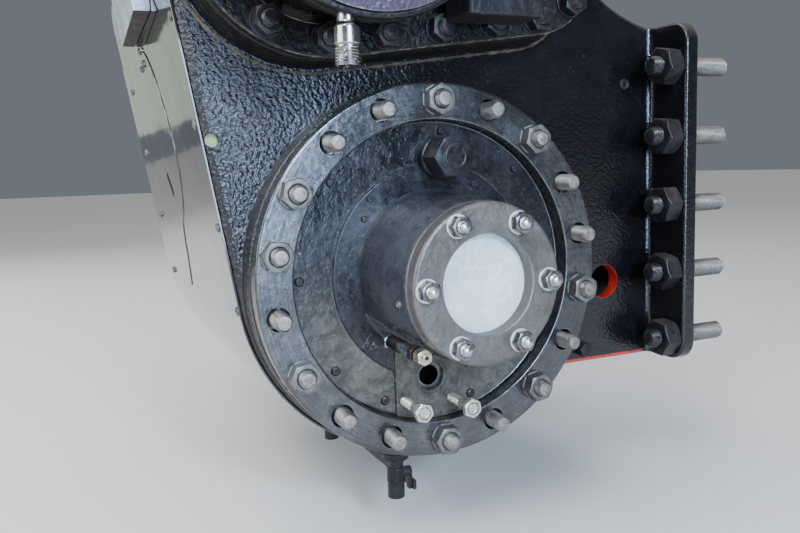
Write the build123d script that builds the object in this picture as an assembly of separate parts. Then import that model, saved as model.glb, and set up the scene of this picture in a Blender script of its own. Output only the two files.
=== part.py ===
from build123d import *
import os
from math import asin, atan2, cos, pi, radians, sin, sqrt

# Steam locomotive outside cylinder with its piston-valve chest, left hand, held by its frame flange.
# Millimetres. The origin is the centre of the face that meets the locomotive's frame.
# +X points to the frame, -Y to the front of the locomotive, +Z up.

# Driving dimensions of the cylinder
bore_r = 250.0
stroke = 660.0
piston_width = 140.0
end_clearance = 11.0
axis_out = 551.0
axis_drop = 110.0
barrel_r = 322.0
wall_r = 328.0
wall_half = 405.0
wall_round = 16.0
counterbore_r = 268.0
counterbore_depth = 43.0

# Driving dimensions of the frame flange
flange_half_length = 503.0
flange_half_height = 330.0
flange_thickness = 27.0
flange_corner_r = 40.0
flange_round = 6.0
flange_cove_r = 12.0
web_round = 12.0
sweep_rise = 560.0
sweep_sag = 19.0
frame_stud_r = 18.0
frame_shank_r = 19.0
frame_thread_r = 17.0
frame_stud_rows = 5
frame_stud_pitch = 133.0
frame_stud_low_edge = 46.0
frame_stud_side_edge = 37.0
frame_thickness = 100.0
frame_stud_end = 26.0
frame_stud_tip = 3.0
frame_nut_af = 65.0
frame_nut_height = 36.0

# Driving dimensions of the valve chest
valve_out = 195.0
valve_rise = 565.0
valve_bore_r = 110.0
chest_half = 467.0
chest_r = 212.0
chest_lobe_r = 126.0
chest_lobe_out = 382.0
chest_low_lobe_drop = 38.0
chest_high_lobe_rise = 86.0
chest_flare = 13.0
chest_flange_depth = 14.0
chest_cover_thickness = 30.0
chest_spigot = 24.0
chest_split = 336.0
valve_head_length = 120.0
valve_head_centre = 230.0
spindle_r = 22.0

# Driving dimensions of the cylinder covers
cover_r = 320.0
cover_thickness = 32.0
cover_stud_circle = 290.0
cover_stud_count = 18
cover_stud_r = 15.0
cover_hole_r = 17.0
cover_stud_end = 36.0
cover_nut_af = 46.0
cover_nut_height = 25.0
ring_land = 32.0
edge_break = 3.0
recess_depth = 28.0
plate_thickness = 3.0
plate_step = 3.0
plate_step_r = 185.0
cover_nut_turn = 23.0

# Whether each front cover stud still has its nut, clockwise from the top as seen from the front
cover_nut_left = (True, False, True, False, False, True, False, True, False,
                  True, False, False, True, False, True, True, False, False)

# Driving dimensions of the tail-rod boss
boss_length = 164.0
boss_root_r = 140.0
boss_end_r = 128.0
boss_bore_r = 78.0
boss_flange_r = 127.0
boss_flange_thickness = 25.0
boss_flange_round = 6.0
boss_flat_out = 126.0
boss_flat_angle = 126.0
disc_r = 92.0
disc_thickness = 5.0
boss_stud_circle = 106.0
boss_stud_count = 6
boss_stud_r = 10.0
boss_stud_end = 27.0
boss_washer_r = 18.5
boss_washer_thickness = 3.0
boss_nut_af = 30.0
boss_nut_height = 16.0
boss_nut_turn = 17.0

# Driving dimensions of the running gear inside
rod_r = 45.0
rod_end = 1130.0
rod_seat_r = 36.0
rod_seat_length = 100.0
spindle_end = 960.0
spindle_seat_r = 17.0
spindle_seat_length = 56.0
ring_count = 3
ring_width = 8.0
ring_depth = 10.0
ring_pitch = 30.0

# Clearances
running_fit = 0.05
seat_gap = 0.3
hole_clearance = 0.2
moving_gap = 1.0

# Other small driving dimensions
sheet = 3.0
chest_nut_af = 41.0
chest_nut_height = 22.0
chest_washer_r = 25.0
chest_washer_thickness = 4.0
chest_stud_r = 13.5
chest_stud_end = 10.0
gland_nut_af = 36.0
gland_nut_height = 19.0
gland_stud_r = 12.0
gland_stud_end = 14.0
chamfer_small = 2.0

# Places worked out from the driving dimensions
axis_x = -axis_out
axis_z = -axis_drop
chamber_half = stroke / 2 + piston_width / 2 + end_clearance
barrel_half = chamber_half + counterbore_depth
ring_face = barrel_half + cover_thickness
ring_inner_r = cover_stud_circle - ring_land
plate_face = ring_face - recess_depth
recess_floor = plate_face - plate_thickness
boss_face = ring_face + boss_length
boss_joint = boss_face - boss_flange_thickness
frame_stud_y = flange_half_length - frame_stud_side_edge
frame_stud_low = frame_stud_low_edge - flange_half_height
chest_x = axis_x - valve_out
chest_z = axis_z + valve_rise
chest_face = chest_half + chest_cover_thickness
low_lobe = (chest_x + chest_lobe_out, chest_z - chest_low_lobe_drop)
high_lobe = (chest_x + chest_lobe_out, chest_z + chest_high_lobe_rise)
chest_side = axis_x + wall_r
lobe_wall_r = chest_side - high_lobe[0]


def round_y(x, z, y0, y1, r):
    """A round bar along Y."""
    return Pos(x, min(y0, y1), z) * Rot(-90, 0, 0) * Cylinder(
        r, abs(y1 - y0), align=(Align.CENTER, Align.CENTER, Align.MIN))


def round_x(y, z, x0, x1, r):
    """A round bar along X."""
    return Pos(min(x0, x1), y, z) * Rot(0, 90, 0) * Cylinder(
        r, abs(x1 - x0), align=(Align.CENTER, Align.CENTER, Align.MIN))


def round_z(x, y, z0, z1, r):
    """A round bar along Z."""
    return Pos(x, y, min(z0, z1)) * Cylinder(
        r, abs(z1 - z0), align=(Align.CENTER, Align.CENTER, Align.MIN))


def block(x0, x1, y0, y1, z0, z1):
    """A box between two corners."""
    size = (abs(x1 - x0), abs(y1 - y0), abs(z1 - z0))
    return Pos((x0 + x1) / 2, (y0 + y1) / 2, (z0 + z1) / 2) * Box(*size)


def turned(x, z, points):
    """A turned piece about the Y line through x, z, from its (radius, y) outline."""
    outline = make_face(Polyline(*[(r, y) for r, y in points], close=True))
    return Pos(x, 0, z) * revolve(outline, Axis.Y)


def prism(edges, y0, y1):
    """A solid between two planes across Y, from outline edges drawn at y0."""
    return extrude(make_face(edges), amount=y1 - y0, dir=(0, 1, 0))


def tangent_normal(first, second):
    """Outward direction of the outer tangent from one (x, z, r) circle to the next."""
    x0, z0, r0 = first
    x1, z1, r1 = second
    span = sqrt((x1 - x0) ** 2 + (z1 - z0) ** 2)
    ux, uz = (x1 - x0) / span, (z1 - z0) / span
    along = (r0 - r1) / span
    across = sqrt(1 - along ** 2)
    return along * ux + across * uz, along * uz - across * ux


def belt(circles, y):
    """Edges of the outline stretched around (x, z, r) circles, listed counter-clockwise from the front.

    A circle that lies inside the stretched outline is passed over.
    """
    normals = [tangent_normal(c, circles[(i + 1) % len(circles)]) for i, c in enumerate(circles)]
    turns = []
    for i in range(len(circles)):
        start = atan2(normals[i - 1][1], normals[i - 1][0])
        end = atan2(normals[i][1], normals[i][0])
        turns.append((start, end if end > start else end + 2 * pi))
    inside = [i for i, (start, end) in enumerate(turns) if end - start > 1.5 * pi]
    if inside:
        return belt([c for i, c in enumerate(circles) if i != inside[0]], y)
    edges = []
    for i, (x, z, r) in enumerate(circles):
        start, end = turns[i]
        arc = [(x + r * cos(a), y, z + r * sin(a)) for a in (start, (start + end) / 2, end)]
        edges.append(ThreePointArc(*arc))
        nx, nz, nr = circles[(i + 1) % len(circles)]
        edges.append(Line(arc[2], (nx + nr * cos(end), y, nz + nr * sin(end))))
    return edges


def hexagon(af, height, hole_r=0.0, chamfer_width=3.0):
    """A hexagon standing on z = 0, flats facing X, its top corners turned off."""
    body = extrude(RegularPolygon(af / 2, 6, major_radius=False, rotation=30), amount=height)
    corner = af / 2 / cos(pi / 6)
    drop = (corner - af / 2 + chamfer_width) / 2
    cap = make_face(Polyline((0, 0), (corner + 1, 0), (corner + 1, height - drop),
                             (af / 2 - chamfer_width / 2, height), (0, height), close=True))
    body = body & revolve(Plane.XZ * cap, Axis.Z)
    if hole_r:
        body = body - Cylinder(hole_r, height * 3)
    return body


def rod_with_tip(r, length, tip=chamfer_small):
    """A round rod standing on z = 0 with a chamfered tip."""
    shape = Cylinder(r, length, align=(Align.CENTER, Align.CENTER, Align.MIN))
    return chamfer(shape.edges().group_by(Axis.Z)[-1], tip)


def upright(r, height):
    """A plain round bar standing on z = 0."""
    return Cylinder(r, height, align=(Align.CENTER, Align.CENTER, Align.MIN))


def to_front(x, y, z, turn=0.0):
    """Places a piece drawn along +Z so that it points to the front, from the plane y."""
    return Pos(x, y, z) * Rot(90, 0, 0) * Rot(0, 0, turn)


def to_rear(x, y, z, turn=0.0):
    """Places a piece drawn along +Z so that it points to the rear, from the plane y."""
    return Pos(x, y, z) * Rot(-90, 0, 0) * Rot(0, 0, turn)


def circle_places(x, z, r, count, first=90.0):
    """Points spaced round a circle, clockwise from the top as seen from the front."""
    angles = [radians(first - 360.0 * i / count) for i in range(count)]
    return [(x + r * cos(a), z + r * sin(a)) for a in angles]


def save(name, shape):
    """Writes one node."""
    export_step(shape, f"parts/{name}.step")


def group(pieces):
    """Solids of one node that don't touch."""
    return Compound(children=list(pieces))


# Outlines across the cylinder
def wall_outline(y, grow=0.0):
    """The end wall: round below the cylinder, straight up the outside, round over the chest."""
    circles = [(axis_x, axis_z, wall_r + grow),
               (high_lobe[0], high_lobe[1], lobe_wall_r + grow),
               (chest_x, chest_z, chest_r + chest_flare + grow)]
    return belt(circles, y)


def chest_outline(y, grow=0.0):
    """The oblong end of the valve chest."""
    circles = [(chest_x, chest_z, chest_r + grow),
               (low_lobe[0], low_lobe[1], chest_lobe_r + grow),
               (high_lobe[0], high_lobe[1], chest_lobe_r + grow)]
    return belt(circles, y)


def web_outline(y, grow=0.0):
    """The inboard web, with its concave sweep from the frame flange up to the chest."""
    top = flange_half_height
    step = flange_thickness
    sweep_end = (chest_side, y, axis_z + sweep_rise + grow)
    sweep_start = (-step, y, top + grow)
    across, up = sweep_end[0] - sweep_start[0], sweep_end[2] - sweep_start[2]
    span = sqrt(across ** 2 + up ** 2)
    sweep_middle = (sweep_start[0] + across / 2 - sweep_sag * up / span, y,
                    sweep_start[2] + up / 2 + sweep_sag * across / span)
    low = -flange_half_height - grow
    return [Line((axis_x, y, low), (0, y, low)),
            Line((0, y, low), (0, y, top + grow)),
            Line((0, y, top + grow), sweep_start),
            ThreePointArc(sweep_start, sweep_middle, sweep_end),
            Line(sweep_end, (axis_x, y, sweep_end[2])),
            Line((axis_x, y, sweep_end[2]), (axis_x, y, low))]


# Castings
drain_end = 370.0
drain_places = (-drain_end, 0.0, drain_end)
drain_x = axis_x - 46.0
drain_boss_r = 25.0
drain_boss_drop = 17.0
drain_boss_z = axis_z - wall_r - drain_boss_drop
wall_hole = (axis_x + 408.0, axis_z - 60.0)
wall_hole_r = 34.0
wall_hole_depth = 120.0
edge_hole_r = 11.0
edge_hole_depth = 14.0
edge_hole = (axis_x - wall_r - 28.0, axis_z + 233.0)
far = 2000.0


def frame_stud_places():
    """(y, z) of each stud of the frame flange: two columns."""
    rows = [frame_stud_low + frame_stud_pitch * i for i in range(frame_stud_rows)]
    return [(side * frame_stud_y, z) for side in (-1, 1) for z in rows]


def bare_web_edges(web):
    """Edges of the web that stay open: its underside and its sweep, at the front and at the rear."""
    edges = web.edges().filter_by(Plane.XZ)
    sweeps = edges.filter_by(GeomType.CIRCLE)
    lowest = edges.filter_by(Axis.X).group_by(Axis.Z)[0]
    return sweeps + lowest


def frame_flange():
    """The plate that bolts to the frame, with a cove where each end of the web meets it."""
    plate = block(-flange_thickness, 0, -flange_half_length, flange_half_length,
                  -flange_half_height, flange_half_height)
    plate = fillet(plate.edges().filter_by(Axis.X), flange_corner_r)
    plate = fillet(plate.edges().group_by(Axis.X)[0], flange_round)
    root, r = -flange_thickness, flange_cove_r
    for side in (-1, 1):
        face = side * wall_half
        cove = block(root - r, root, face, face + side * r, -flange_half_height, flange_half_height)
        cove -= round_z(root - r, face + side * r, -flange_half_height, flange_half_height, r)
        plate += cove
    return plate


def chest_end(side):
    """One end of the valve chest: a straight flange that flares out into the end wall."""
    straight = side * (chest_half - chest_flange_depth)
    root = side * (wall_half - wall_round)
    low, high = sorted((side * chest_half, straight))
    flange = prism(chest_outline(low), low, high)
    faces = [make_face(chest_outline(straight)), make_face(chest_outline(root, grow=chest_flare))]
    return flange + loft(faces, ruled=True)


def castings():
    """The cylinder casting and the valve chest above it."""
    wall = prism(wall_outline(-wall_half), -wall_half, wall_half)
    wall = fillet(wall.edges().filter_by(Plane.XZ), wall_round)
    web = prism(web_outline(-wall_half), -wall_half, wall_half)
    web = fillet(bare_web_edges(web), web_round)
    whole = wall + web
    upper_zone = block(-far, chest_side, -far, far, axis_z + chest_split, far)
    lower = whole - upper_zone
    upper = whole & upper_zone
    lower += round_y(axis_x, axis_z, -barrel_half, barrel_half, barrel_r)
    lower += frame_flange()
    for y in drain_places:
        lower += round_z(drain_x, y, drain_boss_z, axis_z - wall_r + drain_boss_drop, drain_boss_r)
    lower -= round_y(axis_x, axis_z, -barrel_half, barrel_half, bore_r)
    for side in (-1, 1):
        lower -= round_y(axis_x, axis_z, side * chamber_half, side * barrel_half, counterbore_r)
    for y, z in frame_stud_places():
        lower -= round_x(y, z, -flange_thickness, 0, frame_shank_r + running_fit)
    lower -= round_y(wall_hole[0], wall_hole[1], -wall_half, -wall_half + wall_hole_depth, wall_hole_r)
    lower -= round_y(edge_hole[0], edge_hole[1], -wall_half, -wall_half + edge_hole_depth, edge_hole_r)
    for side in (-1, 1):
        upper += chest_end(side)
    upper += round_z(inlet_x, inlet_y, chest_z, inlet_seat, inlet_neck_r)
    upper += round_x(exhaust_y, exhaust_z, chest_side - exhaust_root, exhaust_seat, exhaust_neck_r)
    upper -= round_y(chest_x, chest_z, -chest_half, chest_half, valve_bore_r)
    upper -= round_z(inlet_x, inlet_y, chest_z, inlet_seat + 1, inlet_r - pipe_step)
    upper -= round_x(exhaust_y, exhaust_z, exhaust_floor, exhaust_seat + 1, exhaust_r - pipe_step)
    lower -= round_x(exhaust_y, exhaust_z, chest_side, exhaust_seat, exhaust_neck_r + moving_gap)
    save("cylinder_casting", lower)
    save("valve_chest_casting", upper)


# Steam inlet on top of the chest and exhaust outlet on its inboard side
pipe_boss = 14.0
pipe_step = 5.0
pipe_flange_thickness = 30.0
pipe_stud_count = 8
pipe_stud_r = 12.0
pipe_stud_length = 48.0
inlet_x = chest_x
inlet_y = 0.0
inlet_r = 75.0
inlet_neck_r = 105.0
inlet_flange_r = 150.0
inlet_height = 85.0
inlet_stud_circle = 125.0
inlet_seat = chest_z + chest_r + chest_flare + pipe_boss
exhaust_y = 0.0
exhaust_z = high_lobe[1]
exhaust_r = 68.0
exhaust_neck_r = 88.0
exhaust_flange_r = 130.0
exhaust_length = 80.0
exhaust_stud_circle = 108.0
exhaust_seat = chest_side + pipe_boss
exhaust_root = 60.0
exhaust_depth = 220.0
exhaust_floor = chest_side - exhaust_depth


def pipe_flange(r, neck_r, rim_r, length, thickness):
    """A flanged pipe end drawn along +Z from z = 0."""
    neck = Cylinder(neck_r, length, align=(Align.CENTER, Align.CENTER, Align.MIN))
    rim = Pos(0, 0, length - thickness) * Cylinder(
        rim_r, thickness, align=(Align.CENTER, Align.CENTER, Align.MIN))
    return neck + rim - Cylinder(r, 4 * length)


def pipe_studs(circle):
    """Studs standing on z = 0 round a pipe flange."""
    places = circle_places(0, 0, circle, pipe_stud_count, first=90.0 - 180.0 / pipe_stud_count)
    return [Pos(x, y, 0) * rod_with_tip(pipe_stud_r, pipe_stud_length) for x, y in places]


def steam_pipes():
    """The inlet and exhaust flanges with their studs."""
    inlet = pipe_flange(inlet_r, inlet_neck_r, inlet_flange_r, inlet_height, pipe_flange_thickness)
    place = Pos(inlet_x, inlet_y, inlet_seat)
    save("steam_inlet_flange", place * inlet)
    place = Pos(inlet_x, inlet_y, inlet_seat + inlet_height)
    save("steam_inlet_studs", group(place * s for s in pipe_studs(inlet_stud_circle)))
    exhaust = pipe_flange(exhaust_r, exhaust_neck_r, exhaust_flange_r, exhaust_length,
                          pipe_flange_thickness)
    place = Pos(exhaust_seat, exhaust_y, exhaust_z) * Rot(0, 90, 0)
    save("exhaust_flange", place * exhaust)
    place = Pos(exhaust_seat + exhaust_length, exhaust_y, exhaust_z) * Rot(0, 90, 0)
    save("exhaust_studs", group(place * s for s in pipe_studs(exhaust_stud_circle)))


# Frame flange fastenings
def frame_fastenings():
    """Fitted studs through the frame flange, with a nut on the outer face."""
    studs = []
    nuts = []
    outer = -flange_thickness
    nose = frame_nut_height + frame_stud_end
    for y, z in frame_stud_places():
        thread = round_x(y, z, outer - nose, outer, frame_thread_r)
        shank = round_x(y, z, outer, 0, frame_shank_r)
        standing = round_x(y, z, 0, frame_thickness, frame_stud_r)
        stud = thread + shank + standing
        ends = stud.edges().filter_by(GeomType.CIRCLE).group_by(Axis.X)
        studs.append(chamfer(ends[0] + ends[-1], frame_stud_tip))
        nut = Pos(outer, y, z) * Rot(0, -90, 0) * hexagon(
            frame_nut_af, frame_nut_height, frame_thread_r + running_fit, chamfer_width=5.0)
        nuts.append(nut)
    save("frame_studs", group(studs))
    save("frame_nuts", group(nuts))


# Fittings of the cylinder front cover
relief_x = axis_x - 13.0
relief_z = axis_z - 183.0
relief_r = 26.0
relief_mouth_r = 31.0
relief_mouth_depth = 3.0
relief_inner_r = 18.5
relief_inner_depth = 36.0
relief_pad_x = (axis_x - 80.0, axis_x + 55.0)
relief_pad_rise = 8.0
relief_pad_face = plate_face + relief_pad_rise
relief_bolt_places = ((axis_x - 64.8, axis_z - 220.9), (axis_x + 25.8, axis_z - 226.4))
relief_bolt_r = 9.25
relief_bolt_shank = 68.0
relief_bolt_af = 30.0
relief_bolt_head = 12.0
plug_angle = 86.1
plug_inset = 3.0
plug_circle = (boss_root_r + ring_inner_r) / 2 - plug_inset
plug_place = (axis_x + plug_circle * cos(radians(plug_angle)),
              axis_z + plug_circle * sin(radians(plug_angle)))
plug_collar_r = 40.0
plug_collar_height = 19.0
plug_groove = 2.0
plug_groove_r = 28.0
plug_af = 65.5
plug_height = 50.0
plug_button_r = 20.5
plug_button_height = 3.0
lubricator_out = 142.6
lubricator_angle = -127.6
lubricator_place = (axis_x + lubricator_out * cos(radians(lubricator_angle)),
                    axis_z + lubricator_out * sin(radians(lubricator_angle)))

# Lubricator segments from its foot to its tip: across flats, height, sides (0 is round)
lubricator_segments = (
    (24.0, 12.0, 6),
    (23.0, 46.0, 0),
    (18.0, 10.0, 0),
    (21.0, 34.0, 0),
    (26.0, 16.0, 6),
    (16.0, 6.0, 0),
    (24.0, 20.0, 6),
    (12.0, 6.0, 0),
)


def pad_zone(y0, y1, grow=0.0):
    """The space of the relief-valve pad, between the boss and the ring."""
    low = axis_z - ring_inner_r
    zone = block(relief_pad_x[0] - grow, relief_pad_x[1] + grow, -y0, -y1, low, axis_z)
    zone = zone & round_y(axis_x, axis_z, -y0, -y1, ring_inner_r - seat_gap)
    return zone - round_y(axis_x, axis_z, -y0, -y1, boss_root_r + seat_gap - grow)


def front_cover():
    """The front cover casting: ring, recess and tail-rod boss."""
    spigot_r = counterbore_r - hole_clearance
    cover = turned(axis_x, axis_z, [
        (boss_bore_r, -chamber_half), (spigot_r, -chamber_half), (spigot_r, -barrel_half),
        (cover_r, -barrel_half), (cover_r, -ring_face + edge_break), (cover_r - edge_break, -ring_face),
        (ring_inner_r + edge_break, -ring_face), (ring_inner_r, -ring_face + edge_break),
        (ring_inner_r, -recess_floor), (boss_root_r, -recess_floor), (boss_end_r, -boss_joint),
        (disc_r + seat_gap, -boss_joint), (disc_r + seat_gap, -boss_joint + disc_thickness),
        (boss_bore_r, -boss_joint + disc_thickness)])
    for x, z in circle_places(axis_x, axis_z, cover_stud_circle, cover_stud_count):
        cover -= round_y(x, z, -barrel_half + 1, -ring_face - 1, cover_hole_r)
    cover -= round_y(relief_x, relief_z, -recess_floor, -recess_floor + relief_inner_depth,
                     relief_inner_r)
    flat = block(boss_flat_out, 2 * boss_flat_out, -recess_floor, -boss_joint - 1,
                 -boss_root_r, boss_root_r)
    cover -= Pos(axis_x, 0, axis_z) * Rot(0, boss_flat_angle, 0) * flat
    save("front_cover", cover)
    inner_r = boss_root_r + moving_gap
    plate = turned(axis_x, axis_z, [
        (inner_r, -recess_floor), (ring_inner_r - seat_gap, -recess_floor),
        (ring_inner_r - seat_gap, -plate_face), (plate_step_r, -plate_face),
        (plate_step_r, -plate_face - plate_step), (inner_r, -plate_face - plate_step)])
    clear = relief_pad_face + plug_height
    plate -= pad_zone(recess_floor - 1, clear, grow=seat_gap)
    foot_r = lubricator_segments[0][0] / 2 / cos(pi / 6)
    for (x, z), r in ((plug_place, plug_collar_r), (lubricator_place, foot_r)):
        plate -= round_y(x, z, -recess_floor + 1, -clear, r + seat_gap)
    save("front_cover_plate", plate)
    pad = pad_zone(recess_floor, relief_pad_face)
    pad -= round_y(relief_x, relief_z, -recess_floor, -relief_pad_face, relief_r)
    pad -= round_y(relief_x, relief_z, -relief_pad_face + relief_mouth_depth, -relief_pad_face,
                   relief_mouth_r)
    pad -= round_y(*lubricator_place, -recess_floor, -relief_pad_face, foot_r + seat_gap)
    save("relief_valve_pad", pad)


def front_fastenings():
    """Studs of the front cover, and the nuts that are left on them."""
    places = circle_places(axis_x, axis_z, cover_stud_circle, cover_stud_count)
    length = cover_thickness + cover_stud_end
    studs = [to_front(x, -barrel_half, z) * rod_with_tip(cover_stud_r, length, tip=3.0)
             for x, z in places]
    save("front_cover_studs", group(studs))
    nuts = []
    for i, (x, z) in enumerate(places):
        if cover_nut_left[i]:
            nut = hexagon(cover_nut_af, cover_nut_height, cover_stud_r + running_fit)
            nuts.append(to_front(x, -ring_face, z, turn=cover_nut_turn * i) * nut)
    save("front_cover_nuts", group(nuts))


def tail_boss():
    """The ring on the tail-rod boss, the disc behind it and their fastenings."""
    ring = turned(axis_x, axis_z, [
        (boss_bore_r, -boss_face), (boss_flange_r - boss_flange_round, -boss_face),
        (boss_flange_r, -boss_face + boss_flange_round), (boss_flange_r, -boss_joint),
        (boss_bore_r, -boss_joint)])
    places = circle_places(axis_x, axis_z, boss_stud_circle, boss_stud_count, first=90 - 30)
    for x, z in places:
        ring -= round_y(x, z, -boss_face - 1, -boss_joint + 1, boss_stud_r + hole_clearance)
    save("tail_boss_ring", ring)
    save("blanking_disc", round_y(axis_x, axis_z, -boss_joint, -boss_joint + disc_thickness, disc_r))
    length = boss_flange_thickness + boss_washer_thickness + boss_stud_end
    studs = [to_front(x, -boss_joint, z) * rod_with_tip(boss_stud_r, length) for x, z in places]
    save("tail_boss_studs", group(studs))
    washers = []
    nuts = []
    for i, (x, z) in enumerate(places):
        washer = upright(boss_washer_r, boss_washer_thickness)
        washer -= Cylinder(boss_stud_r + running_fit, 3 * boss_washer_thickness)
        washers.append(to_front(x, -boss_face, z) * washer)
        nut = hexagon(boss_nut_af, boss_nut_height, boss_stud_r + running_fit)
        nuts.append(to_front(x, -boss_face - boss_washer_thickness, z, turn=boss_nut_turn * i) * nut)
    save("tail_boss_washers", group(washers))
    save("tail_boss_nuts", group(nuts))


def front_fittings():
    """The hexagon plug, the loose relief-valve bolts and the lubricator beside the boss."""
    plug = upright(plug_collar_r, plug_collar_height)
    top = plug_collar_height + plug_groove
    plug += Pos(0, 0, plug_collar_height) * upright(plug_groove_r, plug_groove)
    plug += Pos(0, 0, top) * hexagon(plug_af, plug_height)
    plug += Pos(0, 0, top + plug_height) * rod_with_tip(plug_button_r, plug_button_height, tip=1.0)
    x, z = plug_place
    save("front_cover_plug", to_front(x, -recess_floor, z, turn=30.0) * plug)
    bolts = []
    for x, z in relief_bolt_places:
        bolt = upright(relief_bolt_r, relief_bolt_shank)
        bolt += Pos(0, 0, relief_bolt_shank) * hexagon(relief_bolt_af, relief_bolt_head)
        bolts.append(to_front(x, -relief_pad_face, z) * bolt)
    save("relief_valve_bolts", group(bolts))
    lubricator = None
    base = 0.0
    for across, height, sides in lubricator_segments:
        segment = hexagon(across, height, chamfer_width=1.0) if sides else upright(across / 2, height)
        segment = Pos(0, 0, base) * segment
        lubricator = lubricator + segment if lubricator else segment
        base += height
    place = to_front(lubricator_place[0], -recess_floor, lubricator_place[1])
    save("lubricator_fitting", place * lubricator)


# Cylinder rear cover, gland and slide-bar seat
rear_boss_r = 118.0
rear_boss_length = 96.0
gland_length = 70.0
gland_flange_thickness = 24.0
gland_stud_offset = 98.0
gland_r = 66.0
gland_flange_r = 82.0
gland_ear_r = 32.0
rear_boss_flare = 40.0
rear_boss_foot = 22.0
bar_seat_half_width = 70.0
bar_seat_depth = 130.0
bar_seat_low = 90.0
bar_seat_high = 238.0
bar_seat_slope = 60.0
bar_hole_r = 13.0
bar_hole_offset = 40.0
bar_hole_inset = 40.0
bar_hole_depth = 70.0


def nut_on_stud(af, height, stud_r, stud_end, washer_r=0.0, washer_thickness=0.0):
    """A nut with the end of its stud through it, standing on z = 0, with or without a washer."""
    nut = hexagon(af, height) + Pos(0, 0, height) * rod_with_tip(stud_r, stud_end)
    if washer_r:
        nut = Pos(0, 0, washer_thickness) * nut + upright(washer_r, washer_thickness)
    return nut


def rear_cover():
    """The rear cover with its gland and the seat of the slide bar."""
    spigot_r = counterbore_r - hole_clearance
    hole = rod_r + moving_gap
    face = ring_face + rear_boss_length
    cover = turned(axis_x, axis_z, [
        (hole, chamber_half), (spigot_r, chamber_half), (spigot_r, barrel_half),
        (cover_r, barrel_half), (cover_r, ring_face), (ring_inner_r, ring_face),
        (rear_boss_r + rear_boss_flare, ring_face + rear_boss_foot),
        (rear_boss_r, ring_face + rear_boss_flare), (rear_boss_r, face), (hole, face)])
    lug = block(axis_x - bar_seat_half_width, axis_x + bar_seat_half_width, ring_face,
                ring_face + bar_seat_depth, axis_z + bar_seat_low, axis_z + bar_seat_high)
    low_edge = lug.edges().filter_by(Axis.X).group_by(Axis.Y)[-1].group_by(Axis.Z)[0]
    cover += chamfer(low_edge, bar_seat_slope)
    top = axis_z + bar_seat_high
    for side in (-1, 1):
        cover -= round_z(axis_x + side * bar_hole_offset, ring_face + bar_seat_depth - bar_hole_inset,
                         top - bar_hole_depth, top, bar_hole_r)
    save("rear_cover", cover)
    nut = nut_on_stud(cover_nut_af, cover_nut_height, cover_stud_r, cover_stud_end - cover_nut_height)
    places = circle_places(axis_x, axis_z, cover_stud_circle, cover_stud_count)
    save("rear_cover_nuts", group(to_rear(x, ring_face, z) * nut for x, z in places))
    end = face + gland_flange_thickness
    circles = [(axis_x, axis_z, gland_flange_r), (axis_x + gland_stud_offset, axis_z, gland_ear_r),
               (axis_x, axis_z, gland_flange_r), (axis_x - gland_stud_offset, axis_z, gland_ear_r)]
    gland = prism(belt(circles, face), face, end)
    gland += round_y(axis_x, axis_z, end, face + gland_length, gland_r)
    gland -= round_y(axis_x, axis_z, face, face + gland_length, rod_r + running_fit)
    save("piston_rod_gland", gland)
    gland_nut = nut_on_stud(gland_nut_af, gland_nut_height, gland_stud_r, gland_stud_end)
    spots = [(axis_x + side * gland_stud_offset, axis_z) for side in (-1, 1)]
    save("gland_nuts", group(to_rear(x, end, z) * gland_nut for x, z in spots))


# Valve chest covers
chest_edge = 26.0
cap_neck_r = 150.0
cap_neck_length = 187.0
cap_r = 194.0
cap_thickness = 36.0
cap_lip = 8.0
cap_recess = 12.0
dome_rim = 16.0
dome_rise = 30.0
stub_out = 39.0
stub_neck_r = 11.0
stub_neck_length = 13.0
stub_r = 18.0
stub_length = 49.0
stub_bore_r = 12.0
stub_bore_depth = 40.0
bypass_box = (133.0, 79.0, 170.0)
bypass_place = (axis_x + 64.0, axis_z + 406.0)
bypass_standoff = 36.0
bypass_foot_rise = 60.0
bypass_edge = 6.0
guide_r = 62.0
guide_rim = 16.0
guide_rim_thickness = 26.0
guide_foot_r = 110.0
guide_foot_thickness = 24.0
guide_foot_slope = 36.0
guide_length = 210.0


def chest_nut_spots():
    """Places round the oblong chest cover: round the drum, along its foot, round the lobes, along its top."""
    r = chest_r - chest_edge
    lobe = chest_lobe_r - chest_edge
    drum_angles = (-149, -119, -89, -59, -29, 1)
    spots = [(chest_x + r * sin(radians(a)), chest_z - r * cos(radians(a))) for a in drum_angles]
    nx, nz = tangent_normal((chest_x, chest_z, chest_r), (low_lobe[0], low_lobe[1], chest_lobe_r))
    start = (chest_x + r * nx, chest_z + r * nz)
    end = (low_lobe[0] + lobe * nx, low_lobe[1] + lobe * nz)
    spots += between(start, end, (0.21, 0.47, 0.74, 0.97))
    spots += [(low_lobe[0] + lobe * sin(radians(a)), low_lobe[1] - lobe * cos(radians(a)))
              for a in (45, 86)]
    spots += [(high_lobe[0] + lobe * sin(radians(a)), high_lobe[1] - lobe * cos(radians(a)))
              for a in (84, 130)]
    spots += between((high_lobe[0], high_lobe[1] + lobe), (chest_x, chest_z + r), (0.08, 0.34, 0.6, 0.86))
    return spots


def between(start, end, shares):
    """Points on the line from start to end, at shares of its length."""
    return [(start[0] + (end[0] - start[0]) * t, start[1] + (end[1] - start[1]) * t) for t in shares]


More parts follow.
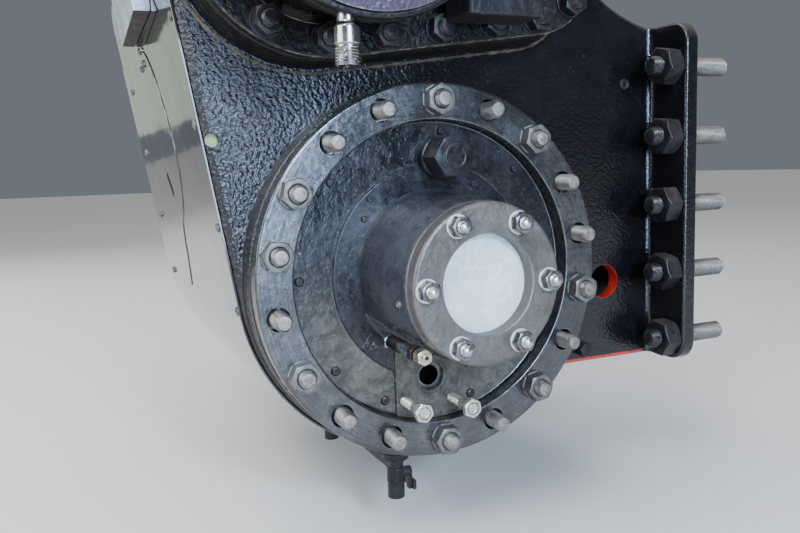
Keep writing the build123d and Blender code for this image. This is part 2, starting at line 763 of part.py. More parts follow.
def front_cap():
    """The long round cover on the front of the chest, with its domed centre."""
    neck = chest_face + cap_neck_length
    face = neck + cap_thickness
    seat = face - cap_recess
    recess_r = cap_r - cap_lip
    cap = turned(chest_x, chest_z, [
        (valve_bore_r, -chest_face), (cap_neck_r, -chest_face), (cap_neck_r, -neck), (cap_r, -neck),
        (cap_r, -face + edge_break), (cap_r - edge_break, -face), (recess_r, -face),
        (recess_r, -seat), (valve_bore_r, -seat)])
    save("valve_front_ring", cap)
    rim = recess_r - seat_gap
    sphere_r = (rim ** 2 + dome_rise ** 2) / (2 * dome_rise)
    half_angle = asin(rim / sphere_r) / 2
    crown = seat + dome_rim
    middle = (sphere_r * sin(half_angle), -crown - dome_rise + sphere_r * (1 - cos(half_angle)))
    profile = [Line((0, -seat), (rim, -seat)), Line((rim, -seat), (rim, -crown)),
               ThreePointArc((rim, -crown), middle, (0, -crown - dome_rise)),
               Line((0, -crown - dome_rise), (0, -seat))]
    save("valve_front_dome", Pos(chest_x, 0, chest_z) * revolve(make_face(profile), Axis.Y))
    stub = upright(stub_neck_r, stub_neck_length + cap_lip)
    body = rod_with_tip(stub_r, stub_length) - Pos(0, 0, stub_length - stub_bore_depth) * upright(
        stub_bore_r, 2 * stub_bore_depth)
    stub += Pos(0, 0, stub_neck_length + cap_lip) * body
    rim_z = chest_z - sqrt(cap_r ** 2 - stub_out ** 2)
    stub = Pos(chest_x - stub_out, -neck - cap_thickness / 2, rim_z + cap_lip) * Rot(180, 0, 0) * stub
    save("drain_stub", stub - round_y(chest_x, chest_z, -neck + cap_thickness, -face - cap_thickness,
                                      cap_r + seat_gap))


def bypass_valve():
    """The box beside the round cover, on its foot."""
    width, depth, height = bypass_box
    bx, bz = bypass_place
    near = chest_face + bypass_standoff
    box = block(bx - width / 2, bx + width / 2, -near - depth, -near, bz, bz + height)
    box = chamfer(box.edges().filter_by(Axis.Z).group_by(Axis.Y)[0], bypass_edge)
    box += block(bx - width / 2, bx + width / 2, -near, -chest_face, bz + bypass_foot_rise, bz + height)
    save("bypass_valve_box", box)


def chest_covers():
    """Front and rear covers of the valve chest with their nuts and the spindle guide."""
    spigot_r = valve_bore_r - hole_clearance
    front = prism(chest_outline(-chest_face), -chest_face, -chest_half)
    front += round_y(chest_x, chest_z, -chest_half, -chest_half + chest_spigot, spigot_r)
    save("valve_chest_front_cover", front)
    nut = nut_on_stud(chest_nut_af, chest_nut_height, chest_stud_r, chest_stud_end,
                      chest_washer_r, chest_washer_thickness)
    spots = chest_nut_spots()
    save("valve_chest_front_nuts", group(to_front(x, -chest_face, z) * nut for x, z in spots))
    rear = prism(chest_outline(chest_half), chest_half, chest_face)
    rear += round_y(chest_x, chest_z, chest_half - chest_spigot, chest_half, spigot_r)
    rear -= round_y(chest_x, chest_z, chest_half - chest_spigot, chest_face, spindle_r + moving_gap)
    save("valve_chest_rear_cover", rear)
    save("valve_chest_rear_nuts", group(to_rear(x, chest_face, z) * nut for x, z in spots))
    foot = chest_face + guide_foot_thickness
    end = chest_face + guide_length
    rim = end - guide_rim_thickness
    bore_r = spindle_r + running_fit
    guide = turned(chest_x, chest_z, [
        (bore_r, chest_face), (guide_foot_r, chest_face), (guide_foot_r, foot),
        (guide_r + guide_rim, foot + chest_edge / 3), (guide_r, foot + guide_foot_slope),
        (guide_r, rim), (guide_r + guide_rim, rim), (guide_r + guide_rim, end), (bore_r, end)])
    save("valve_spindle_guide", guide)


# Sheet cladding
cladding_setback = 10.0
slot_place = (34.0, axis_z + 160.0)
slot_length = 48.0
slot_half_width = 6.0
slot_angle = 51.7

# Curved front edge of the raised panel, from the top down: y and height over the cylinder axis
panel_edge = (
    (55.0, 434.0),
    (-60.0, 386.0),
    (-90.0, 329.0),
    (-119.0, 250.0),
    (-106.0, 172.0),
    (-62.0, 120.0),
    (-8.0, 81.0),
    (14.0, 50.0),
    (30.0, 12.0),
)
panel_low = (70.0, -60.0)

# Outline of the step bracket seen from the side, as y and height over the cylinder axis
bracket_side = ((-238.0, 459.0), (22.0, 437.0), (22.0, 618.0), (-238.0, 618.0))
bracket_proud = 34.0


def side_prism(points, x0, x1):
    """A solid between two planes across X, from (y, height over the axis) points."""
    outline = make_face(Polyline(*[(x0, y, axis_z + z) for y, z in points], close=True))
    return extrude(outline, amount=x1 - x0, dir=(1, 0, 0))


def panel_zone(x0, x1):
    """The outline of the raised panel seen from the side, its slot taken out."""
    points = [(x0, y, axis_z + z) for y, z in panel_edge]
    rear = wall_half - cladding_setback
    edges = [ThreePointArc(*points[i:i + 3]) for i in range(0, len(points) - 1, 2)]
    corner = (x0, panel_low[0], axis_z + panel_low[1])
    low_rear = (x0, rear, corner[2])
    high_rear = (x0, rear, points[0][2])
    edges += [Line(points[-1], corner), Line(corner, low_rear), Line(low_rear, high_rear),
              Line(high_rear, points[0])]
    zone = extrude(make_face(edges), amount=x1 - x0, dir=(1, 0, 0))
    turn = Pos((x0 + x1) / 2, *slot_place) * Rot(slot_angle, 0, 0)
    slot = turn * Box(x1 - x0, slot_length, 2 * slot_half_width)
    for side in (-1, 1):
        slot += turn * Pos(0, side * slot_length / 2, 0) * Rot(0, 90, 0) * Cylinder(
            slot_half_width, x1 - x0)
    return zone - slot


def cladding():
    """The polished sheet round the casting, with a raised panel and a bracket on its outer side."""
    front, rear = cladding_setback - wall_half, wall_half - cladding_setback
    skin = prism(wall_outline(front, grow=seat_gap + sheet), front, rear)
    skin -= prism(wall_outline(front - 1, grow=seat_gap), front - 1, rear + 1)
    skin -= prism(web_outline(front - 1, grow=seat_gap), front - 1, rear + 1)
    for y in drain_places:
        skin -= round_z(drain_x, y, drain_boss_z - 1, axis_z, drain_boss_r + moving_gap)
    skin -= round_z(inlet_x, inlet_y, chest_z, chest_z + 2 * chest_r, inlet_neck_r + moving_gap)
    skin -= round_x(exhaust_y, exhaust_z, chest_side - exhaust_root, chest_side + 2 * exhaust_root,
                    exhaust_neck_r + moving_gap)
    save("cylinder_cladding", skin)
    outer = seat_gap + sheet
    raised = prism(wall_outline(front, grow=outer + sheet), front, rear)
    body = prism(wall_outline(front - 1, grow=outer), front - 1, rear + 1)
    left = axis_x - wall_r - 2 * wall_half
    right = axis_x - wall_r / 2
    save("cladding_panel", (raised - body) & panel_zone(left, right))
    bracket = side_prism(bracket_side, left, right) - body
    save("step_bracket", bracket & prism(wall_outline(front, grow=outer + bracket_proud), front, rear))


# Drain cocks under the barrel
cock_collar_r = 25.0
cock_body_r = 13.0
cock_collar_height = 14.0
cock_length = 88.0
lever_drop = 42.0
lever_out = 24.0
lever_thickness = 6.0
lever_half_width = 9.0
lever_length = 34.0
lever_hub_r = 10.0
bar_depth = 18.0


def drain_cocks():
    """Three cocks under the barrel and the rod that works them."""
    cocks = []
    lever_z = drain_boss_z - lever_drop
    collar_z = drain_boss_z - cock_collar_height
    near, bar_x = drain_x + lever_out, drain_x + lever_out + lever_thickness
    low = lever_z - lever_length
    for y in drain_places:
        cock = round_z(drain_x, y, collar_z, drain_boss_z, cock_collar_r)
        cock += round_z(drain_x, y, drain_boss_z - cock_length, collar_z, cock_body_r)
        cock += round_x(y, lever_z, drain_x, bar_x, lever_hub_r)
        cock += block(near, bar_x, y - lever_half_width, y + lever_half_width, low, lever_z + lever_hub_r)
        cocks.append(cock)
    save("drain_cocks", group(cocks))
    rod_y = (drain_places[0] - cock_collar_height, drain_places[-1] + cock_collar_height)
    save("drain_cock_rod", block(bar_x, bar_x + lever_thickness, *rod_y, low, low + bar_depth))


# Piston and valve
def piston():
    """The piston with its rings, rod and nut, at half stroke."""
    half = piston_width / 2
    body_r = bore_r - moving_gap
    groove_r = bore_r - ring_depth
    taper = 22.0
    body = turned(axis_x, axis_z, [
        (rod_r - 8, -half), (130, -half), (150, -half + taper), (200, -half + taper),
        (222, -half), (body_r, -half), (body_r, half), (222, half), (200, half - taper),
        (150, half - taper), (130, half), (rod_r - 8, half)])
    rings = []
    for i in range(ring_count):
        y = ring_pitch * (i - (ring_count - 1) / 2)
        low, high = y - ring_width / 2, y + ring_width / 2
        groove = round_y(axis_x, axis_z, low, high, bore_r) - round_y(axis_x, axis_z, low, high, groove_r)
        body -= groove
        rings.append(round_y(axis_x, axis_z, low, high, bore_r - running_fit)
                     - round_y(axis_x, axis_z, low, high, groove_r))
    save("piston", body)
    save("piston_rings", group(rings))
    neck = rod_r - 8
    rod = turned(axis_x, axis_z, [
        (0, -half - 50), (neck - 3, -half - 50), (neck - 3, -half), (neck, -half), (neck, half),
        (rod_r, half), (rod_r, rod_end - rod_seat_length - 40), (rod_seat_r, rod_end - rod_seat_length),
        (rod_seat_r, rod_end - 4), (rod_seat_r - 4, rod_end), (0, rod_end)])
    save("piston_rod", rod)
    nut = hexagon(100, 42, neck - 3 + running_fit)
    save("piston_nut", to_front(axis_x, -half, axis_z) * nut)


def valve():
    """The valve spindle with its two heads, at mid travel."""
    tail = valve_head_centre + valve_head_length / 2 + 40
    spindle = turned(chest_x, chest_z, [
        (0, -tail), (spindle_r - 4, -tail), (spindle_r, -tail + 4), (spindle_r, spindle_end - spindle_seat_length - 4),
        (spindle_seat_r, spindle_end - spindle_seat_length), (spindle_seat_r, spindle_end - 2),
        (spindle_seat_r - 2, spindle_end), (0, spindle_end)])
    save("valve_spindle", spindle)
    heads = []
    half = valve_head_length / 2
    head_r = valve_bore_r - running_fit
    for side in (-1, 1):
        y = side * valve_head_centre
        heads.append(turned(chest_x, chest_z, [
            (spindle_r + running_fit, y - half), (60, y - half), (60, y - half + 14),
            (head_r - 8, y - half + 14), (head_r - 8, y - half), (head_r, y - half),
            (head_r, y + half), (head_r - 8, y + half), (head_r - 8, y + half - 14),
            (60, y + half - 14), (60, y + half), (spindle_r + running_fit, y + half)]))
    save("valve_heads", group(heads))


os.makedirs("parts", exist_ok=True)
castings()
steam_pipes()
frame_fastenings()
front_cover()
front_fastenings()
tail_boss()
front_fittings()
rear_cover()
chest_covers()
front_cap()
bypass_valve()
cladding()
drain_cocks()
piston()
valve()
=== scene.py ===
from math import asin, atan2, cos, pi, radians, sin, sqrt, tan
from random import Random

import bmesh
import bpy
from mathutils import Matrix, Vector


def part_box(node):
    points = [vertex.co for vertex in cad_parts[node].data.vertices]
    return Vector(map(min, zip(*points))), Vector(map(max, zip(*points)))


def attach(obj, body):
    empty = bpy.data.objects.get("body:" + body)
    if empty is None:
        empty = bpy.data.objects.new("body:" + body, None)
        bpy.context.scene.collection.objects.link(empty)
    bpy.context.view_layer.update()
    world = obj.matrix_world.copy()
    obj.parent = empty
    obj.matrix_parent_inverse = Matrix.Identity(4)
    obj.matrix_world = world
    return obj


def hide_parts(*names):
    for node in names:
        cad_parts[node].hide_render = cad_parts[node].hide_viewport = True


# Looks of a steam locomotive outside cylinder with its piston-valve chest.
# Sizes are millimetres in the shared frame, and every piece is scaled to metres when it is finished.
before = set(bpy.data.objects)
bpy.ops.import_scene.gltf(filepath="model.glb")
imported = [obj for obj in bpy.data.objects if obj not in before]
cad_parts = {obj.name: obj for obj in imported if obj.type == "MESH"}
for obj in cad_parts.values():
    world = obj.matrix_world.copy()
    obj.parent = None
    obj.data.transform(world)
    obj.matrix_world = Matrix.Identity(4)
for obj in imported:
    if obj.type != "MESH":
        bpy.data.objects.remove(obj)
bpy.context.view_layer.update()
MM = 0.001


def box_mm(node):
    """Lowest and highest corner of a CAD node's box, in millimetres."""
    low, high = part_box(node)
    return low / MM, high / MM


def centre_mm(node):
    """Middle of a CAD node's box, in millimetres."""
    low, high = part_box(node)
    return (low + high) / (2 * MM)


def front_mm(node):
    """How far a CAD node reaches to the front, in millimetres."""
    return -box_mm(node)[0].y


# Nuts: width across flats, height and bore
cover_nut = (46, 25, 15.2)
boss_nut = (30, 16, 10)
chest_nut = (41, 22, 13.5)
frame_nut = (65, 36, 17.2)
gland_nut = (36, 19, 12.2)

# Places taken from the frame
axis_x, _, axis_z = centre_mm("tail_boss_ring")
chest_x, _, chest_z = centre_mm("valve_front_ring")
ring_face = front_mm("front_cover_nuts") - cover_nut[1]
barrel_half = ring_face - 32
boss_face = front_mm("tail_boss_ring")
chest_face = front_mm("valve_chest_front_cover")
cap_face = front_mm("valve_front_ring")
inlet_seat = box_mm("steam_inlet_flange")[0].z
exhaust_seat = box_mm("exhaust_flange")[0].x
plug_place = centre_mm("front_cover_plug")
lubricator_place = centre_mm("lubricator_fitting")

# Casting
bore_r = 250
cover_bore_r = 268
wall_half = 405
wall_round = 16
wall_r = 328
barrel_r = 322
flange_half_length = 503
flange_half_height = 330
flange_thickness = 27
flange_corner_r = 40
frame_stud_y = 466
sweep_rise = 560
sweep_sag = 19
web_edge_r = 12
wall_hole = (axis_x + 408, axis_z - 60)
wall_hole_r = 34
edge_hole = (axis_x - wall_r - 28, axis_z + 233)
edge_hole_r = 11

# Valve chest
chest_half = chest_face - 30
chest_r = 212
chest_bore_r = 110
lobe_r = 126
low_lobe = (chest_x + 382, chest_z - 38)
high_lobe = (chest_x + 382, chest_z + 86)
chest_flare = 13
chest_side = axis_x + wall_r
inlet_neck_r = 105
exhaust_neck_r = 88
exhaust_z = high_lobe[1]
neck_root = chest_side - 60

# Covers
cover_r = 320
cover_spigot_r = 267.8
cover_joint = barrel_half + 0.4
chamber_half = barrel_half - 43
stud_circle = 290
ring_inner_r = 258
recess_floor = ring_face - 31
plate_face = ring_face - 28
collar_step_r = 185.5
boss_joint = boss_face - 25
boss_root_r = 140
boss_end_r = 128
boss_bore_r = 78
rear_face = ring_face + 96
relief = (axis_x - 13, axis_z - 183)

# Drain cocks and cladding
drain_x = axis_x - 46
drain_places = (-370, 0, 370)
drain_boss_z = box_mm("drain_cocks")[1].z
seat_gap = 0.3
sheet = 3
cladding_half = wall_half - 10


# Mesh building
def soften(points, steps=4):
    """Rounds the corners of an open outline of (u, v) or (u, v, radius) points."""
    result = []
    for i, (u, v, *radius) in enumerate(points):
        if not radius or i in (0, len(points) - 1):
            result.append((u, v))
            continue
        here = Vector((u, v))
        before = Vector(points[i - 1][:2]) - here
        after = Vector(points[i + 1][:2]) - here
        reach = min(radius[0], before.length * 0.49, after.length * 0.49)
        start, end = here + before.normalized() * reach, here + after.normalized() * reach
        for k in range(steps + 1):
            t = k / steps
            mid = start.lerp(here, t).lerp(here.lerp(end, t), t)
            result.append((mid.x, mid.y))
    return result


def ring_of(bm, place, steps, at):
    """A ring of vertices round local +Z; at(k, angle) gives the radius and height of each."""
    ring = []
    for k in range(steps):
        a = 2 * pi * k / steps
        r, h = at(k, a)
        ring.append(bm.verts.new(place @ Vector((r * cos(a), r * sin(a), h))))
    return ring


def point_of(bm, place, h):
    """A single vertex on local Z, which stands in for a ring."""
    return [bm.verts.new(place @ Vector((0, 0, h)))]


def join_rings(bm, rings, closed=False, last_plain=0, tip_index=0):
    """Faces from each ring to the next; those after last_plain get the tip's material."""
    pairs = list(zip(rings, rings[1:]))
    if closed:
        pairs.append((rings[-1], rings[0]))
    for i, (first, second) in enumerate(pairs):
        count = max(len(first), len(second))
        for k in range(count if count > 1 else 0):
            n = (k + 1) % count
            if len(first) == 1:
                corners = (first[0], second[n], second[k])
            elif len(second) == 1:
                corners = (first[k], first[n], second[0])
            else:
                corners = (first[k], first[n], second[n], second[k])
            bm.faces.new(corners).material_index = tip_index if i > last_plain else 0


def lathe(bm, points, place, steps=96, closed=True, corner_steps=4):
    """Turns (radius, height) or (radius, height, corner radius) points round local +Z."""
    rings = []
    for r, h in soften(points, corner_steps):
        rings.append(point_of(bm, place, h) if r < 1e-6 else ring_of(bm, place, steps, lambda k, a: (r, h)))
    join_rings(bm, rings, closed)


def solid_lathe(bm, points, place, steps=96):
    """A lathed solid, closed by flat ends where its points stop short of the axis."""
    profile = soften(points)
    first = [(0, profile[0][1])] if profile[0][0] else []
    last = [(0, profile[-1][1])] if profile[-1][0] else []
    lathe(bm, first + profile + last, place, steps, closed=False)


def turned(points, place, steps=96, closed=True, corner_steps=4):
    """A new bmesh with a lathed form."""
    bm = bmesh.new()
    lathe(bm, points, place, steps, closed, corner_steps)
    return bm


def solid(points, place, steps=96):
    """A new bmesh with a lathed solid."""
    bm = bmesh.new()
    solid_lathe(bm, points, place, steps)
    return bm


def bar(place, r, length, steps=72):
    """A new bmesh with a plain round bar."""
    return solid([(r, 0), (r, length)], place, steps)


def facing(angle, axis):
    """A function that puts a piece drawn along +Z at (x, y, z), tilted about an axis."""
    def place(x, y, z, turn=0):
        return Matrix.Translation((x, y, z)) @ Matrix.Rotation(angle, 4, axis) @ Matrix.Rotation(turn, 4, "Z")
    return place


to_front, to_rear = facing(pi / 2, "X"), facing(-pi / 2, "X")
to_outside, to_frame = facing(-pi / 2, "Y"), facing(pi / 2, "Y")
upward, downward = facing(0, "X"), facing(pi, "X")


def lifted(place, h):
    """A place moved along its own Z."""
    return place @ Matrix.Translation((0, 0, h))


def circle_places(r, count, first=90):
    """Points (x, z) spaced round the cylinder's axis, clockwise as seen from the front."""
    angles = [radians(first - 360 * i / count) for i in range(count)]
    return [(axis_x + r * cos(a), axis_z + r * sin(a)) for a in angles]


def arc(u, v, r, start, sweep, count):
    """Points along an arc round (u, v), both ends included."""
    angles = [start + sweep * k / count for k in range(count + 1)]
    return [(u + r * cos(a), v + r * sin(a)) for a in angles]


def between(start, end, shares):
    """Points on the line from start to end, at shares of its length."""
    return [(start[0] + (end[0] - start[0]) * t, start[1] + (end[1] - start[1]) * t) for t in shares]


def rectangle(low_u, low_v, high_u, high_v):
    """Corners of a rectangle, counter-clockwise."""
    return [(low_u, low_v), (high_u, low_v), (high_u, high_v), (low_u, high_v)]


def tangent_angle(first, second):
    """Angle of the outward normal of the outer tangent from one (u, v, r) circle to the next."""
    du, dv = second[0] - first[0], second[1] - first[1]
    span = sqrt(du * du + dv * dv)
    along = (first[2] - second[2]) / span
    across = sqrt(1 - along * along)
    return atan2(along * dv / span - across * du / span, along * du / span + across * dv / span)


def belt(circles, grow=0, step=radians(3)):
    """Points of the outline stretched around (u, v, r) circles, counter-clockwise."""
    angles = [tangent_angle(c, circles[(i + 1) % len(circles)]) for i, c in enumerate(circles)]
    points = []
    for i, (u, v, r) in enumerate(circles):
        start, end = angles[i - 1], angles[i]
        while end < start:
            end += 2 * pi
        points += arc(u, v, r + grow, start, end - start, max(2, int((end - start) / step) + 1))
    return points


def around(circles, step=radians(3)):
    """The belt round some circles as a function of how far it grows."""
    return lambda grow: belt(circles, grow, step)


def swept(outline, profile, along="Y"):
    """A new bmesh with a solid whose outline(grow) changes with each (grow, distance) of the profile."""
    bm = bmesh.new()
    rings = []
    for grow, d in profile:
        rings.append([bm.verts.new({"X": (d, u, v), "Y": (u, d, v), "Z": (u, v, d)}[along]) for u,
            v in outline(grow)])
    join_rings(bm, rings)
    bm.faces.new(rings[0])
    bm.faces.new(list(reversed(rings[-1])))
    return bm


def prism(points, low, high, along="Y"):
    """A new bmesh with a plain prism of (u, v) points between two distances."""
    return swept(lambda grow: points, [(0, low), (0, high)], along)


def hex_nut(bm, place, af, height, bore=0, steps=72):
    """A hexagon nut or bolt head with turned corners and, with a bore, its chamfered mouth."""
    rim, mouth, sixth = af * 0.475, bore * 1.09, pi / 3

    def side(a):
        """Radius of the six sides at an angle, and how much the turned corners take off there."""
        r = af / 2 / cos((a + sixth / 2) % sixth - sixth / 2)
        return r, max(0, (r - rim) * tan(radians(30)))

    def level(r, h):
        return ring_of(bm, place, steps, lambda k, a: (r, h))

    rings = [level(rim, 0), ring_of(bm, place, steps, lambda k, a: side(a)),
        ring_of(bm, place, steps, lambda k, a: (side(a)[0], height - side(a)[1])), level(rim, height)]
    if bore:
        rings += [level(mouth, height), level(bore, height - mouth + bore), level(bore, 0)]
        join_rings(bm, rings, closed=True)
    else:
        join_rings(bm, [point_of(bm, place, 0)] + rings + [point_of(bm, place, height)])


def threaded(bm, place, r, start, end, pitch, phase=0, steps=28, tip=2, dome=0.6, tip_index=0):
    """A threaded rod end from start to end along local Z, its tip turned to a shallow dome."""
    rows = max(4, int((end - start) / pitch * 4))
    rings = []
    for i in range(rows + 1):
        h = start + (end - start) * i / rows
        left = end - h
        limit = r if left >= tip else r - (tip - left) * 0.9

        def flank(k, a):
            wave = abs(2 * ((h / pitch - k / steps + phase) % 1) - 1)
            return min(limit, r - 0.54 * pitch * wave), h

        rings.append(ring_of(bm, place, steps, flank))
    for scale, lift in ((0.6, 0.75), (0.25, 0.97)):
        rings.append(ring_of(bm, place, steps, lambda k, a: (r * scale, end + dome * lift)))
    rings.append(point_of(bm, place, end + dome))
    rings.insert(0, point_of(bm, place, start))
    join_rings(bm, rings, last_plain=rows, tip_index=tip_index)


def linked(name, data):
    """A new object in the scene."""
    obj = bpy.data.objects.new(name, data)
    bpy.context.scene.collection.objects.link(obj)
    return obj


def as_object(bm, name):
    """A new object from a bmesh, which is used up."""
    bmesh.ops.recalc_face_normals(bm, faces=bm.faces[:])
    mesh = bpy.data.meshes.new(name)
    bm.to_mesh(mesh)
    bm.free()
    return linked(name, mesh)


def combined(first, second, operation="DIFFERENCE"):
    """The boolean of two bmeshes, as a new bmesh."""
    body, tool = as_object(first, "body_part"), as_object(second, "tool_part")
    cut = body.modifiers.new("cut", "BOOLEAN")
    cut.operation = operation
    cut.solver = "EXACT"
    cut.object = tool
    graph = bpy.context.evaluated_depsgraph_get()
    mesh = bpy.data.meshes.new_from_object(body.evaluated_get(graph))
    result = bmesh.new()
    result.from_mesh(mesh)
    for obj in (body, tool):
        old = obj.data
        bpy.data.objects.remove(obj)
        bpy.data.meshes.remove(old)
    bpy.data.meshes.remove(mesh)
    return result


def cut_from(bm, *cutters):
    """A bmesh with the cutters taken out of it, one at a time."""
    for cutter in cutters:
        bm = combined(bm, cutter)
    return bm


def joined(bm, other):
    """Adds the faces of a second bmesh, which is used up."""
    mesh = bpy.data.meshes.new("joined_part")
    other.to_mesh(mesh)
    other.free()
    bm.from_mesh(mesh)
    bpy.data.meshes.remove(mesh)


def piece(name, bm, look, nodes=(), body="cylinder", bevel=0, sharp=32, second=None):
    """Finishes a bmesh as a piece in metres that rides on a body and may stand for CAD nodes."""
    bmesh.ops.scale(bm, vec=(MM, MM, MM), verts=bm.verts[:])
    obj = as_object(bm, name)
    mesh = obj.data
    mesh.polygons.foreach_set("use_smooth", [True] * len(mesh.polygons))
    mesh.set_sharp_from_angle(angle=radians(sharp))
    mesh.materials.append(looks[look])
    if second:
        mesh.materials.append(looks[second])
    if bevel:
        edge = obj.modifiers.new("edge", "BEVEL")
        edge.width = bevel * MM
        edge.segments = 2
        edge.limit_method = "ANGLE"
        edge.angle_limit = radians(sharp)
        edge.harden_normals = True
    even = obj.modifiers.new("even", "WEIGHTED_NORMAL")
    even.keep_sharp = True
    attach(obj, body)
    if nodes:
        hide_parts(*nodes)
    return obj


# Looks
def add(tree, kind, inputs, **settings):
    """A shader node with its settings, each input fed by a socket or set to a value."""
    node = tree.nodes.new("ShaderNode" + kind)
    for name, value in settings.items():
        setattr(node, name, value)
    for name, value in inputs.items():
        socket = node.inputs[name]
        if isinstance(value, bpy.types.NodeSocket):
            tree.links.new(value, socket)
        else:
            socket.default_value = (*value, 1) if socket.type == "RGBA" else value
    return node


def ramp(tree, source, *stops):
    """A grey ramp fed by source, from (position, grey) stops."""
    node = add(tree, "ValToRGB", {"Fac": source})
    for element, (position, grey) in zip(node.color_ramp.elements, stops):
        element.position = position
        element.color = (grey, grey, grey, 1)
    return node.outputs["Color"]


def mixed(tree, factor, first, second, blend="MIX"):
    """Mix of two colours or sockets; 6 and 7 are the node's colour inputs, and 2 its colour output."""
    node = add(tree, "Mix", {0: factor, 6: first, 7: second}, data_type="RGBA", blend_type=blend)
    return node.outputs[2]


def times(tree, first, second):
    """Product of two sockets or numbers, kept between 0 and 1."""
    return add(tree, "Math", {0: first, 1: second}, operation="MULTIPLY", use_clamp=True).outputs[0]


def noise(tree, coordinates, scale, detail, rough, distortion=0):
    """A noise value over the object's own coordinates."""
    return add(tree, "TexNoise", {"Vector": coordinates, "Scale": scale, "Detail": detail, "Roughness": rough,
        "Distortion": distortion}).outputs["Fac"]


def vector(tree, operation, inputs, output="Vector"):
    """The result of a vector calculation."""
    return add(tree, "VectorMath", inputs, operation=operation).outputs[output]


def part_of(tree, source, letter):
    """One coordinate of a vector."""
    return add(tree, "SeparateXYZ", {0: source}).outputs[letter]


def true_normal(tree):
    """The direction that the surface really faces."""
    return add(tree, "NewGeometry", {}).outputs["Normal"]


def edge_mask(tree, radius):
    """White along sharp edges, from how far a rounded normal turns away from the true one."""
    rounded = add(tree, "Bevel", {"Radius": radius * MM}, samples=4).outputs["Normal"]
    dot = vector(tree, "DOT_PRODUCT", {0: rounded, 1: true_normal(tree)}, "Value")
    return ramp(tree, dot, (0.8, 1), (0.985, 0))


def turned_marks(tree, coordinates):
    """Fine broken rings round the cylinder's axis, as turning leaves them."""
    away = vector(tree, "SUBTRACT", {0: coordinates, 1: (axis_x * MM, 0, axis_z * MM)})
    flat = vector(tree, "MULTIPLY", {0: away, 1: (1, 0, 1)})
    radius = vector(tree, "LENGTH", {0: flat}, "Value")
    along = vector(tree, "SCALE", {0: flat, "Scale": 0.035})
    rings = add(tree, "CombineXYZ", {"Y": radius}).outputs["Vector"]
    return noise(tree, vector(tree, "ADD", {0: along, 1: rings}), 430, 3, 0.7)


looks = {}


def finish(name, base, second, rough, patch, speck, wear, relief, metallic=0, coat=0, specular=0.5,
        blotch=0.5, dust=0, dust_colour=(0.3, 0.26, 0.2), lathed=False, tint=None, smoother=None):
    """A procedural finish with patches and blotches of two colours.

    rough is the range of roughness and patch the scale of the patches. speck is scale, colour, amount and
    threshold of small specks. wear is colour, amount and radius of worn edges. relief is scale and depth of
    the grain, then of the fine grain. dust lies on what faces up, tint is a colour that comes in between two
    heights, and smoother fades the grain between two x to a share of its depth.
    """
    material = bpy.data.materials.new(name)
    material.use_nodes = True
    tree = material.node_tree
    coordinates = tree.nodes.new("ShaderNodeTexCoord").outputs["Object"]
    broad = noise(tree, coordinates, patch, 6, 0.62)
    middle = noise(tree, coordinates, patch * 5.5, 5, 0.68, 0.6)
    colour = mixed(tree, ramp(tree, broad, (0.36, 0), (0.64, 1)), base, second)
    if tint:
        level = add(tree, "MapRange", {"Value": part_of(tree, coordinates, "Z"), "From Min": tint[1] * MM,
            "From Max": tint[2] * MM}).outputs["Result"]
        colour = mixed(tree, times(tree, level, ramp(tree, middle, (0.35, 0.6), (0.6, 1))), colour, tint[0])
    colour = mixed(tree, blotch, colour, ramp(tree, middle, (0.36, 0.3), (0.62, 1)), "MULTIPLY")
    if lathed:
        fine = turned_marks(tree, coordinates)
        colour = mixed(tree, 0.75, colour, ramp(tree, fine, (0.34, 0.45), (0.62, 1)), "MULTIPLY")
    else:
        fine = noise(tree, coordinates, relief[2], 2, 0.5)
    small = noise(tree, coordinates, speck[0], 3, 0.7)
    colour = mixed(tree, ramp(tree, small, (speck[3], 0), (speck[3] + 0.08, speck[2])), colour, speck[1])
    worn = times(tree, edge_mask(tree, wear[2]), ramp(tree, small, (0.3, 0.35), (0.6, 1)))
    colour = mixed(tree, times(tree, worn, wear[1]), colour, wear[0])
    roughness = ramp(tree, mixed(tree, 0.5, broad, middle), (0.4, rough[0]), (0.6, rough[1]))
    if dust:
        lying = ramp(tree, part_of(tree, true_normal(tree), "Z"), (0.15, 0), (0.9, 1))
        cover = times(tree, times(tree, lying, ramp(tree, broad, (0.3, 0.3), (0.7, 1))), dust)
        colour = mixed(tree, cover, colour, dust_colour)
        roughness = mixed(tree, cover, roughness, (0.85, 0.85, 0.85))
    grain = noise(tree, coordinates, relief[0], 3, 0.5)
    if smoother:
        fade = add(tree, "MapRange", {"Value": part_of(tree, coordinates, "X"), "From Min": smoother[0] * MM,
            "From Max": smoother[1] * MM, "To Min": 1, "To Max": smoother[2]},
            interpolation_type="SMOOTHSTEP").outputs["Result"]
        grain = times(tree, grain, fade)
    bumps = add(tree, "Bump", {"Strength": 1, "Distance": relief[1] * MM, "Height": grain})
    bumps = add(tree, "Bump", {"Strength": 1, "Distance": relief[3] * MM, "Height": fine,
        "Normal": bumps.outputs["Normal"]})
    shader = tree.nodes["Principled BSDF"]
    for socket, source in (("Base Color", colour), ("Roughness", roughness),
            ("Normal", bumps.outputs["Normal"])):
        tree.links.new(source, shader.inputs[socket])
    for socket, value in (("Metallic", metallic), ("Specular IOR Level", specular), ("Coat Weight", coat),
            ("Coat Roughness", 0.06)):
        shader.inputs[socket].default_value = value
    looks[name] = material


